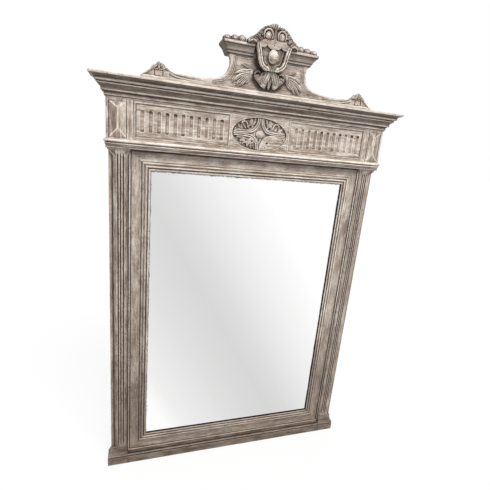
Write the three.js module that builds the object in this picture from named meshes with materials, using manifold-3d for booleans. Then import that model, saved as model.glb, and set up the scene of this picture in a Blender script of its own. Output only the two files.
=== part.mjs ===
// Trumeau (overmantel) mirror: a limed-oak frame with fluted pilasters, a fluted frieze with an
// oval carved rosette, a moulded cornice and a carved crest, standing on its plinth.
// Millimetres, +Z up. The front faces -Y. Every piece is drawn from the pilasters' front plane
// (y = 0) with z = 0 under the plinth; the whole group is then moved so that the origin is the
// centre of the bounding box's bottom.
import * as THREE from 'three';
import { mergeVertices } from 'three/addons/utils/BufferGeometryUtils.js';
import Module from 'manifold-3d';

const wasm = await Module();
wasm.setup();

// ---------------------------------------------------------------- driving dimensions
const GAP = 0.3;              // clearance between touching pieces
const FRONT = -90;            // front of the cartouche's boss
const BACK = 60.3;            // back of the battens
const Y_SHIFT = -(FRONT + BACK) / 2;

const STILE_HALF = 564;       // outer side of the stiles
const STILE_FRONT = 8.3;      // front of the stiles, behind the pilasters
const CARCASS_BACK = 34;      // back of stiles, rails and frame boards
const TOP = 1650;             // top of the cornice
const PLINTH_TOP = 51;
const PLINTH_HALF = 576;
const PLINTH_FRONT = -16;
const BASE_TOP = 86;          // top of the flared pilaster bases

const SIGHT_HALF = 414.5;     // visible glass, half width
const SIGHT_BOTTOM = 131;
const SIGHT_TOP = 1337;
const BOARD_WIDTH = 79.5;     // scooped frame board, sight edge to outer edge
const RABBET = 9;             // glass rabbet width
const GLASS_FRONT = 11;
const GLASS_THICK = 4;

const PILASTER_IN = 494.3;    // pilaster, inner and outer edge
const PILASTER_OUT = 549;
const CAPITAL_BOTTOM = 1382.3;
const CAPITAL_TOP = 1410;

const FRIEZE_HALF = 570;
const FRIEZE_FRONT = -12;
const ARCHITRAVE_BOTTOM = 1410.3;
const FRIEZE_BOTTOM = 1443.3;
const FRIEZE_TOP = 1578;
const CORNICE_BOTTOM = 1578.3;
const CORNICE_OUT = 50;       // overhang at the front and at both ends

const BLOCK_IN = 474;         // corner block, inner edge
const PANEL_IN = 127;         // fluted panels
const PANEL_OUT = 469;
const PANEL_BOTTOM = 1456;
const PANEL_TOP = 1568;
const FLUTE_FIRST = 155.6;
const FLUTE_PITCH = 29.2;
const FLUTE_COUNT = 11;
const FLUTE_WIDTH = 13;
const FLUTE_BOTTOM = 1474;
const FLUTE_TOP = 1547;
const ROSETTE_A = 113;        // oval rosette, half width and half height
const ROSETTE_B = 61;
const ROSETTE_Z = 1509.5;

const CREST_FRONT = -47;
const CREST_BASE_TOP = 1660;
const CAP_BOTTOM = 1769;
const CAP_TOP = 1809.5;
const CAP_HALF = 186;
const CROWN_TOP = 1882;

const BOARD_BACK = 44.3;      // back of the backboards
const RING_X = 529;           // hanging rings
const RING_Z = 1290;
const RING_WIRE = 2;
const STRAP_BACK = 44.6;
const STRAP_THICK = 2.2;
const LOOP_R = 4.5;
const RING_Y = STRAP_BACK + LOOP_R;

// ---------------------------------------------------------------- materials
const std = (color, roughness, metalness = 0) => new THREE.MeshStandardMaterial({ color, roughness, metalness });
const oak = std(0xa89a88, 0.62);
const oakCarved = std(0xb3a694, 0.6);
const pine = std(0x8a6a47, 0.8);
const mirror = std(0xd8dadb, 0.04, 1);
const iron = std(0x4a4540, 0.5, 1);
const brass = std(0x9a7a3c, 0.4, 1);

// ---------------------------------------------------------------- geometry helpers
// Closes, orients outward and shades a geometry.
function outward(geometry) {
  const g = geometry.index ? geometry.toNonIndexed() : geometry;
  for (const k of Object.keys(g.attributes)) if (k !== 'position') g.deleteAttribute(k);
  const m = mergeVertices(g, 1e-4);
  const P = m.attributes.position, I = m.index.array;
  let v = 0;
  for (let i = 0; i < I.length; i += 3) {
    const [a, b, c] = [I[i], I[i + 1], I[i + 2]];
    v += P.getX(a) * (P.getY(b) * P.getZ(c) - P.getZ(b) * P.getY(c))
       - P.getY(a) * (P.getX(b) * P.getZ(c) - P.getZ(b) * P.getX(c))
       + P.getZ(a) * (P.getX(b) * P.getY(c) - P.getY(b) * P.getX(c));
  }
  if (v < 0) for (let i = 0; i < I.length; i += 3) { const t = I[i + 1]; I[i + 1] = I[i + 2]; I[i + 2] = t; }
  m.computeVertexNormals();
  return m;
}

// A prism on the polygon pts = [[a, b], ...]. Each end is a number or a linear function of (a, b),
// which gives mitred ends; place maps (a, b, t) to [x, y, z].
function prism(pts, t0, t1, place, holes = []) {
  const shape = new THREE.Shape(pts.map(p => new THREE.Vector2(p[0], p[1])));
  for (const h of holes) shape.holes.push(new THREE.Path(h.map(p => new THREE.Vector2(p[0], p[1]))));
  const g = new THREE.ExtrudeGeometry(shape, { depth: 1, steps: 1, bevelEnabled: false, curveSegments: 1 });
  const P = g.attributes.position;
  const f = (t, a, b) => (typeof t === 'function' ? t(a, b) : t);
  for (let i = 0; i < P.count; i++) {
    const a = P.getX(i), b = P.getY(i), s = P.getZ(i);
    P.setXYZ(i, ...place(a, b, s < 0.5 ? f(t0, a, b) : f(t1, a, b)));
  }
  return outward(g);
}
const alongX = (a, b, t) => [t, a, b];   // polygon in (y, z)
const alongY = (a, b, t) => [a, t, b];   // polygon in (x, z)
const alongZ = (a, b, t) => [a, b, t];   // polygon in (x, y)

const box = (x0, x1, y0, y1, z0, z1) =>
  outward(new THREE.BoxGeometry(x1 - x0, y1 - y0, z1 - z0).translate((x0 + x1) / 2, (y0 + y1) / 2, (z0 + z1) / 2));

// Mirrors a geometry to the other side (x to -x).
function mirrored(geometry) {
  const g = geometry.clone();
  g.scale(-1, 1, 1);
  return outward(g);
}

function solid(geometry) {
  return new wasm.Manifold(new wasm.Mesh({
    numProp: 3,
    vertProperties: new Float32Array(geometry.attributes.position.array),
    triVerts: new Uint32Array(geometry.index.array),
  }));
}
function shell(manifold) {
  const m = manifold.getMesh();
  const g = new THREE.BufferGeometry();
  g.setAttribute('position', new THREE.BufferAttribute(new Float32Array(m.vertProperties), 3));
  g.setIndex([...m.triVerts]);
  return outward(g);
}
const minus = (a, ...rest) => shell(rest.reduce((s, g) => s.subtract(solid(g)), solid(a)));
const plus = (a, ...rest) => shell(rest.reduce((s, g) => s.add(solid(g)), solid(a)));
const common = (a, b) => shell(solid(a).intersect(solid(b)));

const drill = (x, z, r, y0, y1) => outward(new THREE.CylinderGeometry(r, r, y1 - y0, 8).translate(x, (y0 + y1) / 2, z)
  .translate(-x, -(y0 + y1) / 2, -z).translate(x, (y0 + y1) / 2, z));

const group = new THREE.Group();
group.name = 'trumeau_mirror';
group.position.set(0, Y_SHIFT, 0);
function add(name, geometry, material) {
  const mesh = new THREE.Mesh(geometry, material);
  mesh.name = name;
  group.add(mesh);
  return mesh;
}
// A piece drawn on the right (+X) and its mirror image on the left.
function pair(name, geometry, material) {
  add(`right_${name}`, geometry, material);
  add(`left_${name}`, mirrored(geometry), material);
}

// ---------------------------------------------------------------- plinth and carcass
// Flared block under each pilaster: full depth, so that the object stands on it.
const plinthBlockXZ = [[PILASTER_IN, 0], [573, 0], [PLINTH_HALF, 4], [PLINTH_HALF, 52], [572, 60], [568, 70],
  [565, 80], [STILE_HALF + 0.4, BASE_TOP], [PILASTER_IN, BASE_TOP]];
const plinthBlockYZ = [[CARCASS_BACK, 0], [-13, 0], [PLINTH_FRONT, 4], [PLINTH_FRONT, 52], [-11, 60], [-6, 70],
  [-3, 80], [-2, BASE_TOP], [CARCASS_BACK, BASE_TOP]];
pair('plinth_block', common(
  prism(plinthBlockXZ, PLINTH_FRONT - 5, CARCASS_BACK + 5, alongY),
  prism(plinthBlockYZ, PILASTER_IN - 5, PLINTH_HALF + 5, alongX)), oak);

add('plinth_board', prism([[8, 0], [-13, 0], [PLINTH_FRONT, 4], [PLINTH_FRONT, 41], [-13.5, 43], [-15.5, 46],
  [-14.5, 49.5], [-11, PLINTH_TOP], [8, PLINTH_TOP]], -PILASTER_IN + GAP, PILASTER_IN - GAP, alongX), oak);
add('bottom_rail', box(-PILASTER_IN + GAP, PILASTER_IN - GAP, STILE_FRONT, CARCASS_BACK, 0, PLINTH_TOP), pine);

const screwZ = [RING_Z + 32, RING_Z + 50];
const stile = box(PILASTER_IN, STILE_HALF, STILE_FRONT, CARCASS_BACK, BASE_TOP + GAP, TOP);
pair('stile', minus(stile, ...screwZ.map(z => drill(RING_X, z, 2.3, 20, 40))), oak);
add('top_rail', box(-PILASTER_IN + GAP, PILASTER_IN - GAP, STILE_FRONT, CARCASS_BACK, SIGHT_TOP + BOARD_WIDTH + GAP, TOP), pine);

// ---------------------------------------------------------------- scooped frame boards
// Profile in (u, y): u runs outward from the sight edge. Lip, groove, small bead, cove, large
// bead, step, wide scoop, groove, outer bead, then the back with the glass rabbet.
const frameProfile = [[0, 10.7], [0, 7.5], [1, 6.5], [6, 6.5], [7.5, 8], [10.5, 8], [12, 6], [14.5, 5], [17, 6],
  [18.5, 8], [21.5, 6.5], [23, 3], [26, 1.4], [29, 3], [30.5, 6], [33, 6.5], [42, 9.5], [50, 10.3], [58, 9.5],
  [66, 6.5], [69, 6], [71, 6], [72.5, 3.4], [75.5, 2.2], [78.5, 3.4], [BOARD_WIDTH, 5],
  [BOARD_WIDTH, CARCASS_BACK], [RABBET, CARCASS_BACK], [RABBET, 10.7]];
pair('frame_board', prism(frameProfile, u => SIGHT_BOTTOM - u + 0.2, u => SIGHT_TOP + u - 0.2,
  (u, y, t) => [SIGHT_HALF + u, y, t]), oak);
add('top_frame_board', prism(frameProfile, u => -SIGHT_HALF - u + 0.2, u => SIGHT_HALF + u - 0.2,
  (u, y, t) => [t, y, SIGHT_TOP + u]), oak);
add('bottom_frame_board', prism(frameProfile, u => -SIGHT_HALF - u + 0.2, u => SIGHT_HALF + u - 0.2,
  (u, y, t) => [t, y, SIGHT_BOTTOM - u]), oak);

// ---------------------------------------------------------------- glass and its battens
const GLASS_X = SIGHT_HALF + RABBET - 1;
add('mirror_glass', box(-GLASS_X, GLASS_X, GLASS_FRONT, GLASS_FRONT + GLASS_THICK,
  SIGHT_BOTTOM - RABBET + 1, SIGHT_TOP + RABBET - 1), mirror);
const bx = SIGHT_HALF + RABBET - GAP, by = GLASS_FRONT + GLASS_THICK + GAP;
const bb = SIGHT_BOTTOM - RABBET + GAP, bt = SIGHT_TOP + RABBET - GAP;
pair('glass_batten', box(bx - 16, bx, by, by + 14, bb, bt), pine);
add('top_glass_batten', box(-bx + 16.3, bx - 16.3, by, by + 14, bt - 16, bt), pine);
add('bottom_glass_batten', box(-bx + 16.3, bx - 16.3, by, by + 14, bb, bb + 16), pine);

// ---------------------------------------------------------------- backboards and back battens
const planks = [-545, -182, 182, 545];
const plankY = [CARCASS_BACK + GAP, BOARD_BACK];
for (let i = 0; i < 3; i++) {
  let g = box(planks[i] + 0.8, planks[i + 1] - 0.8, ...plankY, 14, 1560);
  if (i !== 1) g = minus(g, ...screwZ.map(z => drill(i ? RING_X : -RING_X, z, 2.3, 30, 50)));
  add(['left_backboard', 'middle_backboard', 'right_backboard'][i], g, pine);
}
add('upper_back_batten', box(-500, 500, BOARD_BACK + GAP, BACK, 1180, 1250), pine);
add('lower_back_batten', box(-500, 500, BOARD_BACK + GAP, BACK, 330, 400), pine);

// ---------------------------------------------------------------- pilasters and capitals
// Pilaster section in (x, y): flat bands at both edges, three narrow flutes between two reeds.
const groove = x => [[x - 2.6, 0], [x - 1.6, 3.2], [x, 4.2], [x + 1.6, 3.2], [x + 2.6, 0]];
pair('pilaster', prism([[PILASTER_IN, 8], [PILASTER_IN, 0.8], [PILASTER_IN + 0.8, 0], ...groove(511.9), ...groove(521.6),
  ...groove(531.3), [PILASTER_OUT - 0.8, 0], [PILASTER_OUT, 0.8], [PILASTER_OUT, 8]],
  BASE_TOP + GAP, CAPITAL_BOTTOM - GAP, alongZ), oak);
const capitalXZ = [[PILASTER_IN, CAPITAL_BOTTOM], [PILASTER_OUT, CAPITAL_BOTTOM], [551, 1390], [555, 1397.5],
  [560.5, 1404], [567, 1408], [567, CAPITAL_TOP], [487, CAPITAL_TOP], [487, 1408], [491, 1403], [493.5, 1397]];
const capitalYZ = [[8, CAPITAL_BOTTOM], [0, CAPITAL_BOTTOM], [-0.5, 1394], [-2.5, 1402], [-6, 1408], [-6, CAPITAL_TOP],
  [1.2, CAPITAL_TOP], [8, CAPITAL_TOP]];
// The inner flare stands in front of the frame board, so its back is cut away there.
pair('capital', minus(common(prism(capitalXZ, -12, 14, alongY), prism(capitalYZ, 480, 575, alongX)),
  box(480, PILASTER_IN, 1.2, 20, 1370, 1420)), oak);

// ---------------------------------------------------------------- architrave
// Profile in (o, z): o is the overhang beyond the frieze.
const architrave = [[1.5, ARCHITRAVE_BOTTOM], [2, 1414], [1, 1415.5], [2, 1419.5], [4.5, 1424], [4.5, 1427.5], [3, 1429],
  [5.5, 1430.5], [7.3, 1433.5], [7.5, 1437], [6, 1440.5], [3, 1442.5], [0, FRIEZE_BOTTOM - GAP]];
add('architrave', prism([[-13.2, ARCHITRAVE_BOTTOM], ...architrave, [-20, FRIEZE_BOTTOM - GAP], [-20, 1417.1], [-13.2, 1417.1]],
  o => -FRIEZE_HALF - o + 0.2, o => FRIEZE_HALF + o - 0.2, (o, z, t) => [t, FRIEZE_FRONT - o, z]), oak);
pair('architrave_return', prism([[-5.7, ARCHITRAVE_BOTTOM], ...architrave, [-5.7, FRIEZE_BOTTOM - GAP]],
  o => FRIEZE_FRONT - o + 0.2, CARCASS_BACK, (o, z, t) => [FRIEZE_HALF + o, t, z]), oak);

// ---------------------------------------------------------------- frieze
// Corner block: L-shaped in plan, with a raised hipped boss on its front.
const block = prism([[BLOCK_IN, FRIEZE_FRONT], [FRIEZE_HALF, FRIEZE_FRONT], [FRIEZE_HALF, CARCASS_BACK],
  [STILE_HALF + GAP, CARCASS_BACK], [STILE_HALF + GAP, 8], [BLOCK_IN, 8]], FRIEZE_BOTTOM, FRIEZE_TOP, alongZ);
const boss = prism([[498, -11.5], [559, -11.5], [528.5, -19]],
  (x, y) => 1479 - (y + 19) * 4.2, (x, y) => 1541 + (y + 19) * 4.2, alongZ);
pair('corner_block', plus(block, boss), oak);

const ellipse = (a, b, n, cx = 0, cz = 0) => Array.from({ length: n }, (_, i) =>
  [cx + a * Math.cos(2 * Math.PI * i / n), cz + b * Math.sin(2 * Math.PI * i / n)]);
const friezeBoard = box(-BLOCK_IN + GAP, BLOCK_IN - GAP, FRIEZE_FRONT, 8, FRIEZE_BOTTOM, FRIEZE_TOP);
const pocket = box(PANEL_IN, PANEL_OUT, FRIEZE_FRONT - 5, -5, PANEL_BOTTOM, PANEL_TOP);
add('frieze_board', minus(friezeBoard, pocket, mirrored(pocket),
  prism(ellipse(ROSETTE_A + GAP, ROSETTE_B + GAP, 32, 0, ROSETTE_Z), FRIEZE_FRONT - 5, -3, alongY)), oak);

const flute = i => {
  const x = FLUTE_FIRST + i * FLUTE_PITCH, r = FLUTE_WIDTH / 2, pts = [];
  for (let k = 0; k <= 5; k++) pts.push([x + r * Math.cos(Math.PI * k / 5), FLUTE_TOP - r + r * Math.sin(Math.PI * k / 5)]);
  for (let k = 0; k <= 5; k++) pts.push([x - r * Math.cos(Math.PI * k / 5), FLUTE_BOTTOM + r - r * Math.sin(Math.PI * k / 5)]);
  return pts;
};
pair('fluted_panel', prism([[PANEL_IN + GAP, PANEL_BOTTOM + GAP], [PANEL_OUT - GAP, PANEL_BOTTOM + GAP],
  [PANEL_OUT - GAP, PANEL_TOP - GAP], [PANEL_IN + GAP, PANEL_TOP - GAP]], -9.5, -5 - GAP, alongY,
  Array.from({ length: FLUTE_COUNT }, (_, i) => flute(i))), oak);
add('frieze_rosette', prism(ellipse(ROSETTE_A, ROSETTE_B, 32, 0, ROSETTE_Z), -13.5, -3 - GAP, alongY), oakCarved);

// ---------------------------------------------------------------- cornice
const cornice = [[2.5, CORNICE_BOTTOM], [2.5, 1582.5], [4, 1583.5], [5, 1594], [9, 1595.5], [12.5, 1597], [15, 1600],
  [14.5, 1603], [18, 1609], [24, 1614], [24, 1616.5], [27, 1617], [27.5, 1621], [29, 1622], [33, 1623.5],
  [35, 1627], [33.5, 1630.5], [36.5, 1634.5], [42.5, 1640], [46, 1641.5], [CORNICE_OUT, 1642], [CORNICE_OUT, TOP]];
add('cornice', prism([[-20, CORNICE_BOTTOM], ...cornice, [-20, TOP]],
  o => -FRIEZE_HALF - o + 0.2, o => FRIEZE_HALF + o - 0.2, (o, z, t) => [t, FRIEZE_FRONT - o, z]), oak);
pair('cornice_return', prism([[-5.7, CORNICE_BOTTOM], ...cornice, [-5.7, TOP]],
  o => FRIEZE_FRONT - o + 0.2, CARCASS_BACK, (o, z, t) => [FRIEZE_HALF + o, t, z]), oak);

// ---------------------------------------------------------------- crest
const half = pts => [...pts, ...pts.map(([x, z]) => [-x, z]).reverse()];
add('crest_base', box(-456, 456, -50, -4, TOP + GAP, CREST_BASE_TOP), oak);
const crestOutline = half([[0, CREST_BASE_TOP + GAP], [361.7, CREST_BASE_TOP + GAP], [361.7, 1684], [352, 1679.5],
  [342, 1677], [325, 1677], [290, 1675.5], [250, 1677], [223, 1679.5], [205, 1682], [188, 1687], [176, 1692.5],
  [168, 1697.5], [157, 1712], [151, 1727], [148.5, 1739], [149, 1750], [152, 1760], [157, CAP_BOTTOM - GAP]]
  .slice(1));
const crestPlate = prism(crestOutline, CREST_FRONT, -27, alongY);
add('crest_board', plus(crestPlate,
  box(-140, 140, -28, -4, CREST_BASE_TOP + GAP, CAP_BOTTOM - GAP),
  box(-66.7, 66.7, CREST_FRONT, -4, CAP_BOTTOM - 5, CAP_TOP)), oak);

// Acroteria: small pedestals with leaf cresting at the ends of the wings.
pair('acroterion', prism([[362, CREST_BASE_TOP + GAP], [452, CREST_BASE_TOP + GAP], [443, 1667], [432, 1677], [422, 1689],
  [416, 1696], [411, 1697.5], [405, 1705], [397, 1709.5], [390, 1703], [383, 1705], [375, 1700], [368, 1690.5],
  [362, 1686]], -50, -27, alongY), oakCarved);

// Moulded caps: the same moulding on the front and on the outer end.
const capOut = [[1.5, 0], [3, 3.4], [5, 4], [5.5, 7.6], [7.5, 8.2], [8, 11.9], [10, 12.4], [13, 17.2], [19, 23.5],
  [24, 27.8], [25, 31], [26, 31.5], [26, CAP_TOP - CAP_BOTTOM]].map(([o, h]) => [o, CAP_BOTTOM + h]);
const capXZ = [[67, CAP_BOTTOM], ...capOut.map(([o, z]) => [CAP_HALF - 26 + o, z]), [67, CAP_TOP]];
const capYZ = [[0, CAP_BOTTOM], ...capOut.map(([o, z]) => [CREST_FRONT - o * 0.73, z]), [0, CAP_TOP]];
pair('crest_cap', common(prism(capXZ, -80, 0, alongY), prism(capYZ, 60, 200, alongX)), oak);
pair('cap_cresting', prism([[98.3, CAP_TOP + GAP], [180, CAP_TOP + GAP], [184, 1817], [183, 1828], [175, 1833], [164, 1830],
  [158, 1826], [152, 1833], [142, 1836], [132, 1831], [128, 1827], [122, 1833], [113, 1835], [104, 1830], [98.3, 1824]],
  -61, -38, alongY), oakCarved);

// Cartouche: shield, boss, crown of volutes and palmette, and acanthus below.
add('cartouche_shield', prism(half([[20, 1727], [30, 1729.5], [40, 1736], [50, 1749], [57, 1766], [62, 1786], [66.4, 1806],
  [66.4, 1812]]), -85, -50.3, alongY), oakCarved);
const dome = new THREE.LatheGeometry([[0, 0], [1, 0], [0.96, 0.3], [0.8, 0.62], [0.5, 0.88], [0, 1]]
  .map(p => new THREE.Vector2(p[0], p[1])), 20);
dome.scale(18, 4.7, 22.5);            // lathe axis is +Y: turned to face -Y below
dome.rotateX(Math.PI);
dome.translate(0, -85.3, 1774);
add('cartouche_boss', outward(dome), oakCarved);
add('cartouche_crown', prism(half([[66.7, 1812.3], [66.7, CAP_TOP + GAP], [94, CAP_TOP + GAP], [98, 1814], [98, 1822],
  [88, 1829], [76, 1835.5], [65, 1846], [56, 1856.5], [43, 1867], [29, 1874], [14, 1880.5], [4, CROWN_TOP]]),
  -84, -52, alongY), oakCarved);
add('cartouche_acanthus', prism(half([[4, 1667.5], [15, 1666.5], [27, 1669], [36, 1678], [47, 1682], [58, 1690], [68, 1700],
  [60, 1712], [40, 1722], [20, 1726.7]]), -76, -50.3, alongY), oakCarved);
pair('leaf_spray', prism([[72, 1700], [92, 1680], [118, 1667.5], [138, 1672], [142, 1684], [134, 1710], [124, 1738],
  [104, 1745], [82, 1743], [72, 1728]], -56, CREST_FRONT - GAP, alongY), oakCarved);

// ---------------------------------------------------------------- hanging hardware
// Strap: a plate whose lower end curls round the ring's bar. Section in (y, z).
const strap = (() => {
  const pts = [[STRAP_BACK, RING_Z + 60], [STRAP_BACK, RING_Z]];
  const rin = RING_WIRE + 0.4, arc = (r, a) => [RING_Y + r * Math.cos(a), RING_Z + r * Math.sin(a)];
  for (let k = 1; k <= 9; k++) pts.push(arc(LOOP_R, Math.PI + (k / 9) * Math.PI * 1.62));
  for (let k = 9; k >= 1; k--) pts.push(arc(rin, Math.PI + (k / 9) * Math.PI * 1.62));
  pts.push([STRAP_BACK + STRAP_THICK - 0.1, RING_Z], [STRAP_BACK + STRAP_THICK, RING_Z + 4], [STRAP_BACK + STRAP_THICK, RING_Z + 60]);
  return prism(pts, RING_X - 8, RING_X + 8, alongX);
})();
pair('ring_strap', minus(strap, ...screwZ.map(z => drill(RING_X, z, 2.3, 40, 50))), iron);

// D-ring: a torus whose centre line is bent to a straight bar, two sides and a half round.
const ringPath = (() => {
  const pts = [], arc = (cx, cz, r, a0, a1, n) => {
    for (let k = 0; k < n; k++) { const a = a0 + (a1 - a0) * k / n; pts.push([cx + r * Math.cos(a), cz + r * Math.sin(a)]); }
  };
  arc(-10, -5, 5, Math.PI, Math.PI / 2, 4);
  for (let k = 0; k < 4; k++) pts.push([-10 + 5 * k, 0]);
  arc(10, -5, 5, Math.PI / 2, 0, 4);
  arc(0, -9, 15, 0, -Math.PI, 14);
  return pts;
})();
function dRing(side) {
  const n = ringPath.length;
  const g = new THREE.TorusGeometry(10, RING_WIRE, 8, n);
  const P = g.attributes.position;
  for (let i = 0; i < P.count; i++) {
    const x = P.getX(i), y = P.getY(i), z = P.getZ(i);
    let k = Math.round(Math.atan2(y, x) / (2 * Math.PI) * n); k = ((k % n) + n) % n;
    const rad = Math.hypot(x, y) - 10;
    const p = ringPath[k], a = ringPath[(k + n - 1) % n], b = ringPath[(k + 1) % n];
    const tx = b[0] - a[0], tz = b[1] - a[1], l = Math.hypot(tx, tz);
    // the path runs clockwise seen from the front, so its left-hand normal points outward
    P.setXYZ(i, side * RING_X + p[0] - tz / l * rad, RING_Y + z, RING_Z + p[1] + tx / l * rad);
  }
  return outward(g);
}
add('left_hanging_ring', dRing(-1), iron);
add('right_hanging_ring', dRing(1), iron);

// Round-headed screws through strap and backboard into the stile.
const screwProfile = [[0, 22], [1.2, 22], [2, 24], [2, STRAP_BACK + STRAP_THICK + GAP], [4, STRAP_BACK + STRAP_THICK + GAP],
  [3.6, 48.3], [2.2, 49], [0, 49.2]];
for (const [side, s] of [['left', -1], ['right', 1]]) {
  screwZ.forEach((z, i) => {
    const g = new THREE.LatheGeometry(screwProfile.map(p => new THREE.Vector2(p[0], p[1])), 10);
    g.translate(s * RING_X, 0, z);
    add(`${side}_strap_screw_${i + 1}`, outward(g), brass);
  });
}

export default group;
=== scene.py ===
# Trumeau mirror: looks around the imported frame. Coordinates in this script are millimetres from the
# pilasters' front plane (y = 0, +y into the wall) and from the underside of the plinth (z = 0);
# build() turns them into metres in the row frame.
import bpy
import math
import numpy as np
from mathutils import Matrix, Vector


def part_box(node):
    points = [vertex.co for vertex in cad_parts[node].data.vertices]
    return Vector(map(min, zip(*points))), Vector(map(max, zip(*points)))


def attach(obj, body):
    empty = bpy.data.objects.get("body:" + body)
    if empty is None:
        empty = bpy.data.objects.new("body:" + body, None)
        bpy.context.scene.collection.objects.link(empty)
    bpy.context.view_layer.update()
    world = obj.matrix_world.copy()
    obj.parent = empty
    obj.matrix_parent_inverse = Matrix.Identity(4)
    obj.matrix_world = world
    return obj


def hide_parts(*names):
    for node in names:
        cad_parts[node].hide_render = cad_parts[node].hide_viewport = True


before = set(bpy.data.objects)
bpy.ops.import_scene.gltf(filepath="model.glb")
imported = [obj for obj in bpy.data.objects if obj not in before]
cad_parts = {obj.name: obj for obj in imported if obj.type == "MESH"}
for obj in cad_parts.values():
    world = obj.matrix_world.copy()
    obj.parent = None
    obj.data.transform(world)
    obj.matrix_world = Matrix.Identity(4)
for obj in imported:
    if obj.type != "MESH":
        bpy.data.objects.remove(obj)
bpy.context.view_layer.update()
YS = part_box("right_stile")[1][1] * 1000 - 34.0

# ------------------------------------------------------------------ camera
R3 = np.array([0.27225, -0.30284, 0.05074])
_t = np.linalg.norm(R3)
_k = R3 / _t
_K = np.array([[0, -_k[2], _k[1]], [_k[2], 0, -_k[0]], [-_k[1], _k[0], 0]])
_R = (np.eye(3) + math.sin(_t) * _K + (1 - math.cos(_t)) * _K @ _K) @ np.array([[1, 0, 0], [0, 0, -1], [0, 1, 0]], float)
cam_data = bpy.data.cameras.new("camera")
cam_data.sensor_width = 36.0
cam_data.sensor_fit = "HORIZONTAL"
cam_data.lens = 348.467 / 490 * 36.0
cam_data.clip_end = 100
cam = bpy.data.objects.new("camera", cam_data)
bpy.context.scene.collection.objects.link(cam)
M = Matrix.Identity(4)
for i in range(3):
    M[i][0], M[i][1], M[i][2] = _R[0][i], -_R[1][i], -_R[2][i]
M[0][3], M[1][3], M[2][3] = -0.46876, -1.38160 + YS / 1000, 1.43809
cam.matrix_world = M
bpy.context.scene.camera = cam

# ------------------------------------------------------------------ noise
_T = np.random.RandomState(7).rand(8192)


def noise(x, y, z=0.0, seed=0):
    """Smooth value noise in -1..1."""
    x, y, z = np.broadcast_arrays(np.asarray(x, float) + seed * 17.13, np.asarray(y, float) + seed * 5.71,
                                  np.asarray(z, float) + seed * 3.17)
    ix, iy, iz = np.floor(x).astype(np.int64), np.floor(y).astype(np.int64), np.floor(z).astype(np.int64)
    fx, fy, fz = x - ix, y - iy, z - iz
    fx, fy, fz = fx * fx * (3 - 2 * fx), fy * fy * (3 - 2 * fy), fz * fz * (3 - 2 * fz)
    out = 0
    for dx in (0, 1):
        for dy in (0, 1):
            for dz in (0, 1):
                k = (ix + dx) * 374761393 + (iy + dy) * 668265263 + (iz + dz) * 1442695041
                k = ((k ^ (k >> 13)) & 0xFFFFFFFF) * 1274126177
                h = _T[(k ^ (k >> 16)) & 8191]
                out = out + h * (fx if dx else 1 - fx) * (fy if dy else 1 - fy) * (fz if dz else 1 - fz)
    return out * 2 - 1


def sstep(x, a, b):
    t = np.clip((x - a) / (b - a), 0, 1)
    return t * t * (3 - 2 * t)


# ------------------------------------------------------------------ materials
def new_mat(name):
    m = bpy.data.materials.new(name)
    m.use_nodes = True
    nt = m.node_tree
    for n in list(nt.nodes):
        nt.nodes.remove(n)
    out = nt.nodes.new("ShaderNodeOutputMaterial")
    p = nt.nodes.new("ShaderNodeBsdfPrincipled")
    nt.links.new(p.outputs[0], out.inputs[0])
    return m, nt, p


def N(nt, kind, **kw):
    n = nt.nodes.new(kind)
    for k, v in kw.items():
        if k.startswith("i_"):
            key = k[2:]
            n.inputs[int(key) if key.isdigit() else key].default_value = v
        else:
            setattr(n, k, v)
    return n


def ramp(nt, src, stops):
    r = nt.nodes.new("ShaderNodeValToRGB")
    cr = r.color_ramp
    while len(cr.elements) > 1:
        cr.elements.remove(cr.elements[-1])
    cr.elements[0].position = stops[0][0]
    cr.elements[0].color = (*stops[0][1], 1) if isinstance(stops[0][1], tuple) else (stops[0][1],) * 3 + (1,)
    for pos, c in stops[1:]:
        e = cr.elements.new(pos)
        e.color = (*c, 1) if isinstance(c, tuple) else (c,) * 3 + (1,)
    nt.links.new(src, r.inputs[0])
    return r.outputs[0]


def math_(nt, op, a, b=None, clamp=False):
    n = nt.nodes.new("ShaderNodeMath")
    n.operation = op
    n.use_clamp = clamp
    for i, v in enumerate((a, b)):
        if v is None:
            continue
        if isinstance(v, (int, float)):
            n.inputs[i].default_value = v
        else:
            nt.links.new(v, n.inputs[i])
    return n.outputs[0]


def mix(nt, fac, a, b, mode="MIX"):
    n = nt.nodes.new("ShaderNodeMix")
    n.data_type = "RGBA"
    n.blend_type = mode
    for s, v in ((0, fac), (6, a), (7, b)):
        if isinstance(v, (int, float)):
            n.inputs[s].default_value = v
        elif isinstance(v, tuple):
            n.inputs[s].default_value = (*v, 1)
        else:
            nt.links.new(v, n.inputs[s])
    return n.outputs[2]


def scaled(nt, vec, s, loc=(0, 0, 0)):
    m = nt.nodes.new("ShaderNodeMapping")
    m.inputs["Scale"].default_value = s
    m.inputs["Location"].default_value = loc
    nt.links.new(vec, m.inputs["Vector"])
    return m.outputs[0]


def noise_tex(nt, vec, detail=4.0, rough=0.55, dist=0.0, scale=1.0):
    n = N(nt, "ShaderNodeTexNoise", i_Scale=scale, i_Detail=detail, i_Roughness=rough, i_Distortion=dist)
    nt.links.new(vec, n.inputs["Vector"])
    return n.outputs[0]


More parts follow.
